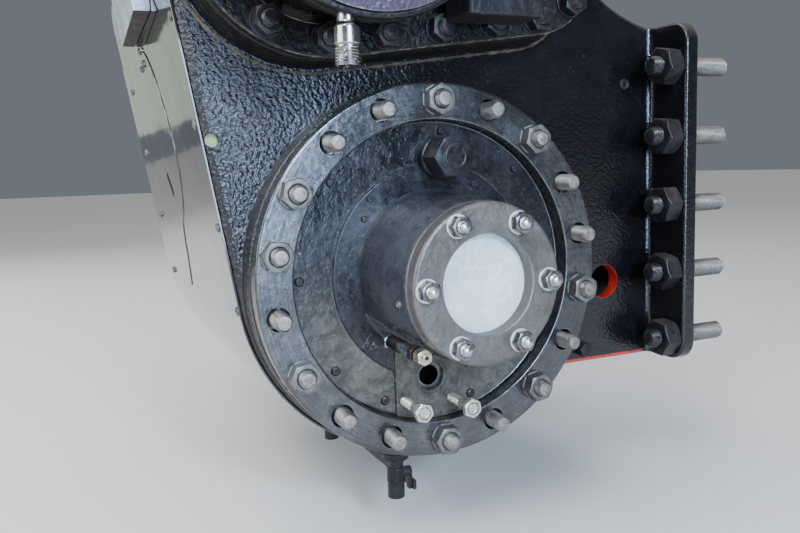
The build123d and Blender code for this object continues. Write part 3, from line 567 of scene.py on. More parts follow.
finish("casting_black", (0.003, 0.003, 0.004), (0.008, 0.007, 0.009), (0.05, 0.12), 5, dust=0.2,
    speck=(150, (0.09, 0.08, 0.07), 0.2, 0.63), wear=((0.14, 0.12, 0.1), 0.35, 2.5),
    relief=(150, 3.4, 420, 0.22), smoother=(-860, -690, 0.28))
# Black paint of the cover ring's rim, also used on the walls of its stud holes as painted shade.
finish("rim_paint_and_hole_shade", (0.008, 0.009, 0.012), (0.018, 0.019, 0.024), (0.12, 0.28), 8, coat=0.35,
    speck=(150, (0.16, 0.13, 0.11), 0.45, 0.63), wear=((0.28, 0.22, 0.17), 0.8, 2.5),
    relief=(85, 2.6, 420, 0.25))
finish("chest_black", (0.004, 0.004, 0.005), (0.01, 0.009, 0.009), (0.24, 0.44), 7, specular=0.2, dust=0.35,
    speck=(140, (0.12, 0.1, 0.08), 0.35, 0.6), wear=((0.3, 0.25, 0.17), 0.9, 2.2), relief=(110, 2, 380, 0.3))
finish("cladding_gloss", (0.012, 0.012, 0.012), (0.018, 0.018, 0.017), (0.05, 0.13), 3, coat=0.8, dust=0.1,
    speck=(240, (0.16, 0.15, 0.13), 0.12, 0.6), wear=((0.35, 0.33, 0.3), 0.35, 1), relief=(4.5, 5, 300, 0.02))
finish("ring_steel", (0.1, 0.101, 0.106), (0.165, 0.166, 0.17), (0.19, 0.31), 11, metallic=0.85,
    speck=(190, (0.024, 0.023, 0.024), 0.45, 0.6), wear=((0.34, 0.31, 0.28), 0.85, 2.5), blotch=0.28,
    relief=(95, 0.6, 600, 0.22), lathed=True)
# The plate's pale bluish specks are partly paint flecks and partly painted glints.
finish("plate_black", (0.007, 0.008, 0.01), (0.018, 0.018, 0.021), (0.14, 0.36), 9, specular=0.36, blotch=0.6,
    speck=(150, (0.2, 0.21, 0.23), 0.8, 0.66), wear=((0.24, 0.23, 0.2), 0.7, 1.6),
    relief=(60, 1.6, 300, 0.35), tint=((0.085, 0.08, 0.066), -70, -250))
finish("collar_black", (0.01, 0.012, 0.016), (0.028, 0.029, 0.034), (0.16, 0.34), 12, specular=0.34,
    speck=(150, (0.13, 0.13, 0.13), 0.6, 0.64), wear=((0.3, 0.3, 0.29), 0.9, 1.4), blotch=0.7,
    relief=(80, 0.8, 600, 0.2), lathed=True)
finish("boss_black", (0.015, 0.017, 0.024), (0.04, 0.044, 0.056), (0.14, 0.34), 8, coat=0.35, dust=0.12,
    speck=(150, (0.1, 0.09, 0.08), 0.3, 0.6), wear=((0.32, 0.31, 0.3), 0.8, 2.5), relief=(60, 1, 420, 0.2),
    dust_colour=(0.2, 0.2, 0.19))
finish("stud_steel", (0.13, 0.12, 0.115), (0.25, 0.24, 0.235), (0.34, 0.55), 45, metallic=0.8,
    speck=(420, (0.1, 0.06, 0.035), 0.7, 0.6), wear=((0.5, 0.47, 0.43), 0.6, 0.8),
    relief=(260, 0.3, 1400, 0.06))
finish("tip_steel", (0.23, 0.2, 0.175), (0.38, 0.34, 0.305), (0.38, 0.58), 50, metallic=0.75, blotch=0.8,
    speck=(380, (0.13, 0.075, 0.045), 0.85, 0.56), wear=((0.6, 0.57, 0.52), 0.5, 1),
    relief=(240, 0.5, 1200, 0.08))
finish("nut_steel", (0.105, 0.099, 0.095), (0.18, 0.17, 0.16), (0.32, 0.52), 35, metallic=0.6, blotch=0.6,
    speck=(320, (0.035, 0.032, 0.032), 0.75, 0.6), wear=((0.5, 0.46, 0.41), 0.9, 1.6),
    relief=(220, 0.4, 1200, 0.08))
finish("bright_steel", (0.5, 0.5, 0.48), (0.7, 0.7, 0.67), (0.18, 0.34), 50, metallic=0.95, blotch=0.55,
    speck=(420, (0.16, 0.13, 0.1), 0.55, 0.6), wear=((0.85, 0.83, 0.79), 0.4, 0.8),
    relief=(300, 0.14, 1500, 0.04))
finish("stub_steel", (0.24, 0.24, 0.24), (0.4, 0.4, 0.39), (0.14, 0.26), 18, metallic=1, blotch=0.3,
    speck=(420, (0.12, 0.1, 0.08), 0.4, 0.6), wear=((0.75, 0.74, 0.72), 0.5, 0.6),
    relief=(260, 0.1, 1500, 0.03))
finish("zinc_cream", (0.5, 0.51, 0.42), (0.7, 0.71, 0.6), (0.24, 0.4), 40, metallic=0.8, blotch=0.4,
    speck=(420, (0.16, 0.13, 0.09), 0.5, 0.6), wear=((0.82, 0.81, 0.74), 0.5, 0.8),
    relief=(260, 0.15, 1400, 0.04))
finish("dark_nut", (0.006, 0.005, 0.007), (0.016, 0.014, 0.017), (0.24, 0.44), 30, specular=0.28, dust=0.12,
    speck=(260, (0.1, 0.08, 0.07), 0.4, 0.62), wear=((0.22, 0.175, 0.13), 0.7, 1.3),
    relief=(130, 0.7, 900, 0.1))
finish("thread_black", (0.007, 0.007, 0.009), (0.015, 0.015, 0.018), (0.22, 0.4), 60,
    speck=(260, (0.06, 0.05, 0.05), 0.3, 0.6), wear=((0.12, 0.11, 0.1), 0.25, 0.8),
    relief=(150, 0.5, 900, 0.08))
finish("disc_cream", (0.49, 0.57, 0.58), (0.63, 0.7, 0.7), (0.4, 0.62), 12, blotch=0.3,
    speck=(220, (0.3, 0.32, 0.3), 0.6, 0.6), wear=((0.3, 0.28, 0.24), 0.3, 1.5), relief=(90, 0.6, 600, 0.1))
# Dark second finish of the bracket: its dark joint, and painted shade on its underside.
finish("bracket_joint_and_underside_shade", (0.008, 0.007, 0.006), (0.026, 0.023, 0.02), (0.4, 0.6), 20, specular=0.2, blotch=0.7,
    speck=(180, (0.004, 0.004, 0.004), 0.6, 0.6), wear=((0.4, 0.4, 0.38), 0.3, 1.8),
    relief=(110, 0.6, 700, 0.1))
finish("bracket_grey", (0.16, 0.19, 0.24), (0.4, 0.44, 0.5), (0.18, 0.42), 14, coat=0.3, blotch=0.7,
    speck=(180, (0.05, 0.05, 0.055), 0.5, 0.6), wear=((0.75, 0.76, 0.76), 0.9, 1.8),
    relief=(110, 0.4, 700, 0.05))
finish("oiled_steel", (0.36, 0.35, 0.34), (0.5, 0.49, 0.48), (0.16, 0.28), 8, metallic=0.95, blotch=0.25,
    speck=(300, (0.2, 0.17, 0.13), 0.3, 0.6), wear=((0.7, 0.69, 0.66), 0.4, 1),
    relief=(120, 0.05, 1200, 0.03))
finish("gland_bronze", (0.3, 0.2, 0.085), (0.42, 0.29, 0.13), (0.26, 0.42), 14, metallic=0.9,
    speck=(280, (0.12, 0.09, 0.05), 0.5, 0.6), wear=((0.66, 0.5, 0.28), 0.6, 1.2),
    relief=(160, 0.2, 900, 0.05))
finish("signal_red", (0.4, 0.012, 0.008), (0.52, 0.022, 0.014), (0.26, 0.42), 20, coat=0.25,
    speck=(300, (0.12, 0.01, 0.01), 0.4, 0.6), wear=((0.5, 0.1, 0.08), 0.3, 1), relief=(160, 0.4, 900, 0.05))
finish("dust_beige", (0.06, 0.052, 0.036), (0.2, 0.17, 0.115), (0.75, 0.9), 60, specular=0.2, blotch=0.9,
    speck=(300, (0.02, 0.018, 0.014), 0.8, 0.52), wear=((0.3, 0.26, 0.18), 0.3, 0.8),
    relief=(300, 0.6, 900, 0.2))
# Flat black used as painted shade in the relief hole and round the bolt heads.
finish("painted_shade_black", (0.002, 0.002, 0.002), (0.004, 0.004, 0.004), (0.8, 0.95), 40, specular=0.1,
    speck=(260, (0.01, 0.009, 0.008), 0.5, 0.6), wear=((0.02, 0.02, 0.02), 0.3, 0.8),
    relief=(160, 0.4, 700, 0.1))
# Green paint in the edge hole, made darker as painted shade.
finish("green_paint_and_shade", (0.26, 0.31, 0.13), (0.4, 0.44, 0.22), (0.4, 0.6), 60,
    speck=(300, (0.12, 0.14, 0.07), 0.6, 0.6), wear=((0.3, 0.3, 0.2), 0.3, 1), relief=(160, 0.4, 900, 0.05))
finish("dome_black", (0.022, 0.016, 0.034), (0.05, 0.038, 0.07), (0.12, 0.26), 8, coat=0.2, dust=0.3,
    speck=(150, (0.09, 0.075, 0.07), 0.3, 0.6), wear=((0.26, 0.21, 0.17), 0.7, 3),
    relief=(140, 2.6, 420, 0.3))
finish("box_black", (0.007, 0.007, 0.009), (0.016, 0.015, 0.017), (0.3, 0.5), 9, specular=0.3, dust=0.3,
    speck=(160, (0.09, 0.08, 0.07), 0.35, 0.6), wear=((0.25, 0.2, 0.15), 0.8, 3), relief=(70, 1.4, 400, 0.2))
finish("boss_steel", (0.09, 0.082, 0.075), (0.132, 0.121, 0.112), (0.3, 0.48), 13, metallic=0.45, blotch=0.3,
    speck=(260, (0.04, 0.037, 0.036), 0.55, 0.6), wear=((0.46, 0.4, 0.33), 1, 3), relief=(120, 1, 520, 0.2))
finish("washer_cream", (0.62, 0.6, 0.55), (0.78, 0.76, 0.71), (0.3, 0.42), 60, metallic=0.35,
    speck=(500, (0.3, 0.27, 0.22), 0.4, 0.6), wear=((0.3, 0.28, 0.25), 0.3, 0.8),
    relief=(300, 0.12, 1500, 0.04))
finish("boss_nut_steel", (0.1, 0.1, 0.105), (0.2, 0.2, 0.205), (0.2, 0.36), 40, metallic=0.8,
    speck=(420, (0.03, 0.03, 0.03), 0.6, 0.6), wear=((0.65, 0.62, 0.58), 0.9, 1.2),
    relief=(300, 0.15, 1400, 0.05))
finish("brass_bright", (0.54, 0.47, 0.32), (0.7, 0.63, 0.46), (0.2, 0.36), 40, metallic=0.9,
    speck=(420, (0.2, 0.15, 0.08), 0.4, 0.6), wear=((0.8, 0.74, 0.58), 0.5, 0.8),
    relief=(260, 0.12, 1400, 0.04))


# Casting and valve chest
wall_circles = ((axis_x, axis_z, wall_r), (*high_lobe, chest_side - high_lobe[0]),
    (chest_x, chest_z, chest_r + chest_flare))
chest_circles = ((chest_x, chest_z, chest_r), (*low_lobe, lobe_r), (*high_lobe, lobe_r))


def arc_through(start, middle, end, steps):
    """Points of the arc through three (u, v) points."""
    (x0, y0), (x1, y1), (x2, y2) = start, middle, end
    d = 2 * (x0 * (y1 - y2) + x1 * (y2 - y0) + x2 * (y0 - y1))
    s0, s1, s2 = x0 * x0 + y0 * y0, x1 * x1 + y1 * y1, x2 * x2 + y2 * y2
    u = (s0 * (y1 - y2) + s1 * (y2 - y0) + s2 * (y0 - y1)) / d
    v = (s0 * (x2 - x1) + s1 * (x0 - x2) + s2 * (x1 - x0)) / d
    first, half, last = (atan2(y - v, x - u) for x, y in (start, middle, end))
    turn = 1 if (half - first) % (2 * pi) < (last - first) % (2 * pi) else -1
    sweep = (last - first) % (2 * pi) if turn > 0 else -((first - last) % (2 * pi))
    return arc(u, v, sqrt((x0 - u) ** 2 + (y0 - v) ** 2), first, sweep, steps)


def sweep_points():
    """The concave top of the web, from the frame flange up to the chest."""
    start = (-flange_thickness, flange_half_height)
    end = (chest_side, axis_z + sweep_rise)
    across, up = end[0] - start[0], end[1] - start[1]
    span = sqrt(across ** 2 + up ** 2)
    middle = (start[0] + across / 2 - sweep_sag * up / span, start[1] + up / 2 + sweep_sag * across / span)
    return arc_through(start, middle, end, 28)


def web_points(gap=0, reach=0):
    """The web's section in (x, z), from the cylinder's axis to the frame, with a gap round it."""
    low = -flange_half_height - gap
    points = [(axis_x, low), (reach, low), (reach, flange_half_height)]
    points += [(u, v + gap) for u, v in sweep_points()]
    return points + [(axis_x, axis_z + sweep_rise + gap)]


def quarter(r, steps=6):
    """(inset, depth) along a rounded edge, from the face round to the side."""
    return [(-r + r * sin(pi / 2 * k / steps), r - r * cos(pi / 2 * k / steps)) for k in range(steps + 1)]


def web():
    """The inboard web with its underside and its sweep rounded at the front and rear."""
    bm = prism(web_points(), -wall_half, wall_half)
    bmesh.ops.recalc_face_normals(bm, faces=bm.faces[:])
    heights = [v for _, v in sweep_points()]
    edges = []
    for edge in bm.edges:
        ends = [vertex.co for vertex in edge.verts]
        same_face = abs(ends[0].y - ends[1].y) < 0.01 and abs(abs(ends[0].y) - wall_half) < 0.01
        on_sweep = all(any(abs(c.z - h) < 0.001 for h in heights) and chest_side - 0.01 < c.x < -1
            for c in ends)
        underneath = all(abs(c.z + flange_half_height) < 0.01 for c in ends)
        if same_face and (on_sweep or underneath):
            edges.append(edge)
    bmesh.ops.bevel(bm, geom=edges, offset=web_edge_r, segments=5, profile=0.5, affect="EDGES")
    return bm


def frame_flange():
    """The plate against the frame."""
    u, v, r = flange_half_length - flange_corner_r, flange_half_height - flange_corner_r, flange_corner_r
    edge = [(g, -flange_thickness + d) for g, d in quarter(6)]
    return swept(around([(u, -v, r), (u, v, r), (-u, v, r), (-u, -v, r)]), edge + [(0, 0)], along="X")


def flange_cove(side):
    """The cove where one end of the web meets the frame flange."""
    r, root, face = web_edge_r, -flange_thickness, wall_half
    points = [(root + 1, face - 1), (root + 1, face + r)] + arc(root - r, face + r, r, 0, -pi / 2, 8)
    points = [(x, side * y) for x, y in points + [(root - r, face - 1)]]
    return prism(points, -flange_half_height + 3, flange_half_height - 3, along="Z")


def castings():
    """The cylinder casting with the wall of the valve chest, as one piece with its bores and passages."""
    edge = quarter(wall_round)
    whole = swept(around(wall_circles), [(g, -wall_half + d) for g, d in edge]
        + [(g, wall_half - d) for g, d in reversed(edge)])
    barrel = turned([(0, -barrel_half), (barrel_r, -barrel_half, 3), (barrel_r, barrel_half, 3),
        (0, barrel_half)], to_rear(axis_x, 0, axis_z), steps=160, closed=False)
    inlet = bar(upward(chest_x, 0, chest_z), inlet_neck_r, inlet_seat - chest_z, steps=96)
    outlet = bar(to_frame(neck_root, 0, exhaust_z), exhaust_neck_r, exhaust_seat - chest_side + 60, steps=96)
    for part in (web(), barrel, frame_flange(), flange_cove(-1), flange_cove(1), inlet, outlet):
        whole = combined(whole, part, "UNION")
    end = barrel_half + 5
    for place, r, length in ((to_rear(axis_x, -end, axis_z), bore_r, 2 * barrel_half + 10),
            (to_rear(axis_x, -end, axis_z), cover_bore_r, 48), (to_front(axis_x, end, axis_z), cover_bore_r,
            48), (to_rear(chest_x, -chest_half, chest_z), chest_bore_r, 2 * chest_half),
            (upward(chest_x, 0, chest_z), 70, inlet_seat - chest_z + 5),
            (to_frame(chest_side - 220, 0, exhaust_z), 63, exhaust_seat - chest_side + 225),
            (to_rear(wall_hole[0], -wall_half - 5, wall_hole[1]), wall_hole_r, 125),
            (to_rear(edge_hole[0], -wall_half - 5, edge_hole[1]), edge_hole_r, 19)):
        whole = combined(whole, bar(place, r, length, steps=144 if r > 200 else 72))
    for y in drain_places:
        solid_lathe(whole, [(0, 0), (25, 0, 3), (25, 60), (0, 60)], upward(drain_x, y, drain_boss_z),
            steps=40)
    piece("casting_walls", whole, "casting_black",
        ("cylinder_casting", "valve_chest_casting"))


def wall_details():
    """Red paint in the wall's hole and along its foot, green paint in the edge hole darkened as painted
    shade, a plug and a bolt head.
    """
    inner, outer = wall_hole_r - 0.5, wall_hole_r + 0.6
    red = turned([(inner, 1.5), (outer, 1.5), (outer, 26), (inner, 26)],
        to_rear(wall_hole[0], -wall_half, wall_hole[1]), steps=64)
    y, z, start, sweep = -wall_half + web_edge_r, -flange_half_height + web_edge_r, radians(193), radians(48)
    strip = arc(y, z, web_edge_r + 0.35, start, sweep, 12)
    strip += reversed(arc(y, z, web_edge_r - 0.6, start, sweep, 12))
    joined(red, prism(strip, -262, -45, along="X"))
    piece("wall_red_paint", red, "signal_red")
    # A disc of green paint deep in the edge hole, its colour darkened as painted shade of the recess.
    pale = bar(to_rear(edge_hole[0], -wall_half + 13, edge_hole[1]), edge_hole_r - 0.2, 3, steps=40)
    piece("edge_hole_paint_and_shade", pale, "green_paint_and_shade")
    small = solid([(0, -2), (11, -2), (11, 3.5, 1.5), (7.5, 4, 0.6), (7, 2.2), (0, 2.2)],
        to_front(-94, -wall_half, 219), steps=32)
    hex_nut(small, to_front(-196, -wall_half + 1, -302, 0.4), 26, 17)
    piece("wall_small_fittings", small, "dark_nut", bevel=0.6)


def chest_ends():
    """The flared ends of the valve chest and the oblong covers bolted to them."""
    flare = [(-1.5, chest_half), (0, chest_half - 1.5)]
    flare += [(chest_flare * t ** 1.8, chest_half - 22 - 56 * t) for t in (k / 10 for k in range(11))]
    lid = [(g, chest_face - d) for g, d in quarter(3, 4)] + [(0, chest_half + 2), (-1.5, chest_half + 0.3)]
    ends = bmesh.new()
    for side, name, node, spigot_y in ((-1, "chest_front_cover", "valve_chest_front_cover", -chest_half - 1),
            (1, "chest_rear_cover", "valve_chest_rear_cover", chest_half - 24)):
        end = swept(around(chest_circles), [(g, side * y) for g, y in flare])
        bore = bar(to_rear(chest_x, -chest_face, chest_z), chest_bore_r, 2 * chest_face)
        joined(ends, combined(end, bore))
        cover = swept(around(chest_circles), [(g, side * y) for g, y in lid])
        spigot = bar(to_rear(chest_x, spigot_y, chest_z), chest_bore_r - 0.2, 25)
        cover = combined(cover, spigot, "UNION")
        if side > 0:
            cover = combined(cover, bar(to_rear(chest_x, chest_half - 40, chest_z), 23, 80, steps=40))
        piece(name, cover, "chest_black", (node,))
    piece("chest_ends", ends, "chest_black")


def chest_nut_spots():
    """Places round the oblong chest cover, counted in degrees from straight down on its circles."""
    edge = 26
    chest, low, high = ((u, v, r - edge) for u, v, r in chest_circles)
    slope = tangent_angle(*chest_circles[:2])
    side = [(u + r * cos(slope), v + r * sin(slope)) for u, v, r in (chest, low)]

    def round_spots(circle, degrees):
        u, v, r = circle
        return [(u + r * sin(radians(a)), v - r * cos(radians(a))) for a in degrees]

    spots = round_spots(chest, (-149, -119, -89, -59, -29, 1)) + between(*side, (0.21, 0.47, 0.74, 0.97))
    spots += round_spots(low, (45, 86)) + round_spots(high, (84, 130))
    top = (high[0], high[1] + high[2]), (chest[0], chest[1] + chest[2])
    return spots + between(*top, (0.08, 0.34, 0.6, 0.86))


def chest_nuts():
    """Nuts round both chest covers, each on its washer with the end of its stud."""
    for place_at, y, name, node, seed in ((to_front, -chest_face, "chest_front_nuts",
            "valve_chest_front_nuts", 3), (to_rear, chest_face, "chest_rear_nuts", "valve_chest_rear_nuts",
            4)):
        random = Random(seed)
        bm = bmesh.new()
        for x, z in chest_nut_spots():
            place, turn, phase = place_at(x, y, z), random.uniform(0, pi), random.random()
            lathe(bm, [(13, 0), (25, 0, 1), (25, 4, 1), (13, 4)], place, steps=40)
            hex_nut(bm, lifted(place, 4) @ Matrix.Rotation(turn, 4, "Z"), *chest_nut)
            threaded(bm, place, 13.4, 4, 36, 3, phase, steps=24, tip=3)
        piece(name, bm, "dark_nut", (node,))


def dust_bead(bm, points, y, low, high, random):
    """A ragged thread of dust along a closed (x, z) outline at one distance."""
    rings, size = [], (low + high) / 2
    for i, (u, v) in enumerate(points):
        ahead = (Vector(points[(i + 1) % len(points)]) - Vector(points[i - 1])).normalized()
        size += (random.uniform(low, high) - size) * 0.8
        rings.append([bm.verts.new((u + ahead.y * size * cos(a), y + size * sin(a),
            v - ahead.x * size * cos(a))) for a in (2 * pi * k / 6 for k in range(6))])
    join_rings(bm, rings, closed=True)


def chest_dust():
    """Dust that lies along the edge of the chest cover and where its flare meets the wall."""
    random = Random(17)
    bm = bmesh.new()
    for grow, y, low, high in ((-0.4, -chest_face + 2.4, 0.4, 2.3), (chest_flare + 1, -wall_half, 0.8, 4.6)):
        points = []
        corners = [Vector(corner) for corner in belt(chest_circles, grow, radians(1.5))]
        for first, second in zip(corners, corners[1:] + corners[:1]):
            count = max(1, int((second - first).length / 6))
            points += [tuple(first.lerp(second, k / count)) for k in range(count)]
        dust_bead(bm, points, y, low, high, random)
    piece("chest_dust", bm, "dust_beige")


def front_cap():
    """The long round cover on the chest, with its domed centre."""
    neck_r, cap_r, dome_r, rise = 150, 194, 185.7, 30
    neck, seat = cap_face - 36, cap_face - 12
    place = to_front(chest_x, 0, chest_z)
    bm = turned([(chest_bore_r, chest_face), (neck_r + 14, chest_face), (neck_r, chest_face + 14, 8),
        (neck_r, neck, 10), (cap_r - 3, neck), (cap_r, neck + 2, 2), (cap_r, neck + 15, 1),
        (cap_r - 2, neck + 17, 1), (cap_r - 2, neck + 20, 1), (cap_r, neck + 22, 1), (cap_r, cap_face, 4),
        (dome_r + 1, cap_face, 1.5), (dome_r + 0.3, seat), (chest_bore_r, seat)], place, steps=192)
    piece("cap_neck", bm, "chest_black", ("valve_front_ring",))
    sphere, crown = (dome_r ** 2 + rise ** 2) / (2 * rise), seat + 16
    angles = [asin(dome_r / sphere) * (1 - k / 16) for k in range(17)]
    dome = [(sphere * sin(a), crown + rise - sphere * (1 - cos(a))) for a in angles]
    bm = turned([(0, seat), (dome_r, seat), (dome_r, crown - 1.5)] + dome, place, steps=160, closed=False)
    piece("cap_dome", bm, "dome_black", ("valve_front_dome",))


def pipe_stub():
    """The bright threaded stub that hangs under the round cover."""
    low, high = box_mm("drain_stub")
    place, length = downward((low.x + high.x) / 2, (low.y + high.y) / 2, high.z), high.z - low.z
    bm = turned([(5, -3), (12.5, -3), (13.5, 10, 2), (17.2, 15, 2), (18, 37, 1), (16, 38.5, 0.6), (16, 42),
        (15, length - 18), (5, length - 18)], place, steps=48)
    tube = bmesh.new()
    threaded(tube, place, 18, 41, length, 3.6, steps=48, dome=0)
    joined(bm, combined(tube, solid([(13.5, length - 22), (13.5, length + 5)], place, steps=48)))
    piece("pipe_stub", bm, "stub_steel", ("drain_stub",))


def bypass_box():
    """The box beside the round cover."""
    low, high = box_mm("bypass_valve_box")
    bm = prism(rectangle(low.x, low.z, high.x, high.z), low.y, low.y + 79)
    joined(bm, prism(rectangle(low.x + 1, low.z + 60, high.x - 1, high.z - 1), low.y + 78, high.y))
    piece("bypass_box", bm, "box_black", ("bypass_valve_box",), bevel=4)


# Front cover
hole_r = 20
tab_place = (axis_x - 118, -plate_face - 4.5, axis_z - 116)

# Small screws of the cover plate: x and z as shares of the stud circle, and head radius
plate_screws = (
    (-0.834, 0.009, 7), (-0.642, -0.525, 7), (-0.342, -0.745, 7), (0.234, -0.782, 7),
    (0.57, 0.594, 6), (-0.041, 0.835, 6), (0.071, 0.83, 6), (-0.63, 0.553, 6),
    (-0.397, 0.448, 5), (-0.434, 0.336, 5), (0.274, 0.511, 5), (-0.438, -0.394, 6),
)

# Which of the ring's studs still have a nut, clockwise from the top
nut_left = (True, False, True, False, False, True, False, True, False, True, False, False, True, False, True,
    True, False, False)

# Loose bolts in the relief-valve pad: x and z from the axis, and turn
loose_bolts = ((-64.8, -220.9, 0.3), (25.8, -226.4, 0.1))


def moved(bm, place):
    """The same bmesh, with its vertices moved to a place."""
    bmesh.ops.transform(bm, matrix=place, verts=bm.verts[:])
    return bm


def on_rim(angle, out, y):
    """Place on a circle round the cylinder's axis, its local Z pointing away from the axis."""
    return (Matrix.Translation((axis_x + out * cos(angle), y, axis_z + out * sin(angle)))
        @ Matrix.Rotation(pi / 2 - angle, 4, "Y"))


def front_cover():
    """The ring and its recess, the tail-rod boss, dabs of red paint, a screw and a small tab."""
    place, root = to_front(axis_x, 0, axis_z), boss_root_r + 6
    bm = turned([(root, chamber_half), (cover_spigot_r, chamber_half), (cover_spigot_r, cover_joint),
        (cover_r, cover_joint, 2), (cover_r, ring_face, 5), (ring_inner_r, ring_face, 3.5),
        (ring_inner_r, recess_floor, 3), (root, recess_floor)], place, steps=216)
    holes = bmesh.new()
    for x, z in circle_places(stud_circle, 18):
        solid_lathe(holes, [(hole_r, 0), (hole_r, 33.5)], to_rear(x, -ring_face - 2, z), steps=32)
    joined(holes, bar(to_rear(relief[0], -recess_floor - 2, relief[1]), 18.5, 38, steps=40))
    bm = combined(bm, holes)
    # The rim gets its black paint, and the walls of the stud holes get the same black as painted shade.
    for face in bm.faces:
        middle = face.calc_center_median()
        radius = sqrt((middle.x - axis_x) ** 2 + (middle.z - axis_z) ** 2)
        rim = radius > cover_r - 1 and middle.y > -ring_face + 3
        hole_wall_shade = abs(radius - stud_circle) < hole_r + 1 and middle.y > -ring_face + 1
        face.material_index = 1 if rim or hole_wall_shade else 0
    piece("cover_ring", bm, "ring_steel", ("front_cover",), bevel=0.8, second="rim_paint_and_hole_shade")
    boss = turned([(boss_bore_r, chamber_half), (root, chamber_half), (root, plate_face + 1),
        (boss_root_r - 0.6, plate_face + 9, 7), (boss_end_r + 0.8, boss_joint - 4, 2),
        (boss_end_r - 1, boss_joint, 1.2), (92.3, boss_joint), (92.3, boss_joint - 5),
        (boss_bore_r, boss_joint - 5)], place, steps=192)
    flat = moved(prism(rectangle(126, -90, 216, 90), -boss_joint - 1, -plate_face - 4),
        Matrix.Translation((axis_x, 0, axis_z)) @ Matrix.Rotation(radians(126), 4, "Y"))
    piece("boss_barrel", combined(boss, flat), "boss_black", bevel=1)
    dabs = bmesh.new()
    for degrees, y, length in ((200.5, 41, 7), (203.5, 38, 4), (210, 26, 8), (213, 24, 4)):
        at = on_rim(radians(degrees), cover_r, -ring_face + y) @ Matrix.Diagonal((length, 3.6, 1, 1))
        bmesh.ops.create_icosphere(dabs, subdivisions=3, radius=1, matrix=at)
    piece("red_dabs", dabs, "signal_red")
    screw = solid([(0, -3), (6.5, -3), (6.5, 3.4, 1.2), (3.4, 4.4), (3, 3.2), (0, 3.2)],
        on_rim(radians(191), 130, -boss_joint + 26), steps=24)
    piece("boss_screw", screw, "nut_steel")
    tab = bmesh.new()
    bmesh.ops.create_cube(tab, size=1, matrix=Matrix.Diagonal((34, 4, 30, 1)))
    moved(tab, Matrix.Translation(tab_place) @ Matrix.Rotation(radians(38), 4, "Y"))
    solid_lathe(tab, [(0, 0), (6, 0), (6, 5.2, 1.2), (3.2, 6), (2.8, 4.8), (0, 4.8)], to_front(*tab_place),
        steps=24)
    piece("plate_tab", tab, "collar_black", bevel=0.6)


def pad_outline(grow=0):
    """The relief-valve pad in (x, z): a piece of the ring between the boss and the cover ring."""
    left, right = -80 - grow, 55 + grow
    points = []
    for r, first, last, count in ((ring_inner_r - 0.3, left, right, 16),
            (boss_root_r + 6.5 - grow, right, left, 12)):
        start, end = (atan2(-sqrt(r ** 2 - x ** 2), x) for x in (first, last))
        points += arc(0, 0, r, start, end - start, count)
    return [(axis_x + x, axis_z + z) for x, z in points]


def cover_plate():
    """The dark plate in the recess with its collar, the pad of the relief valve and the small screws."""
    place, inner, step = to_front(axis_x, 0, axis_z), boss_root_r + 1, collar_step_r
    plate = turned([(step, recess_floor), (step, plate_face - 1.5), (step + 3, plate_face - 1.5),
        (step + 3, plate_face, 0.6), (ring_inner_r - 3.5, plate_face, 1), (ring_inner_r - 4, recess_floor)],
        place, steps=216)
    collar = turned([(inner, recess_floor), (inner, plate_face + 3, 1), (183.6, plate_face + 3, 1.6),
        (step, plate_face + 0.8), (step, recess_floor)], place, steps=216)
    for name, bm, look in (("cover_plate", plate, "plate_black"), ("plate_collar", collar, "collar_black")):
        gap = prism(pad_outline(0.6), -plate_face - 20, -recess_floor + 5)
        hole = bar(to_rear(lubricator_place.x, -plate_face - 20, lubricator_place.z), 14.5, 40, steps=40)
        piece(name, cut_from(bm, gap, hole), look, ("front_cover_plate",))
    mouth = solid([(31, 0), (31, 8), (26.4, 8.2), (26, 9), (26, 30)],
        to_rear(relief[0], -plate_face - 13, relief[1]), steps=56)
    pad = combined(prism(pad_outline(), -plate_face - 8, -recess_floor), mouth)
    piece("relief_pad", pad, "plate_black", ("relief_valve_pad",), bevel=1.2)
    screws = bmesh.new()
    for x, z, r in plate_screws:
        lift = 3 if sqrt(x * x + z * z) * stud_circle < 185 else 0
        r *= 1.15
        solid_lathe(screws, [(0, -1), (r, -1), (r, 3.2, 1.6), (r * 0.6, 4.8), (r * 0.55, 3.4), (0, 3.4)],
            to_front(axis_x + x * stud_circle, -plate_face - lift, axis_z + z * stud_circle), steps=24)
    piece("plate_screws", screws, "dark_nut")


def cover_fastenings():
    """Threaded studs round the cover ring, and the nuts that are left on them."""
    random = Random(11)
    studs, nuts = bmesh.new(), bmesh.new()
    for i, (x, z) in enumerate(circle_places(stud_circle, 18)):
        place = to_front(x, -ring_face, z, random.uniform(0, pi))
        threaded(studs, place, 14.8, -14, 35.4, 3.5, random.random(), steps=32, tip=4.5, tip_index=1)
        if nut_left[i]:
            hex_nut(nuts, to_front(x, -ring_face, z, radians(23 * i)), *cover_nut)
            lathe(nuts, [(15.5, 0), (25.5, 0, 0.8), (25.5, 2.4, 0.8), (15.5, 2.4)],
                to_front(x, -ring_face, z), steps=48)
    piece("cover_studs", studs, "stud_steel", ("front_cover_studs",), second="tip_steel")
    piece("cover_nuts", nuts, "nut_steel", ("front_cover_nuts",), bevel=0.7)


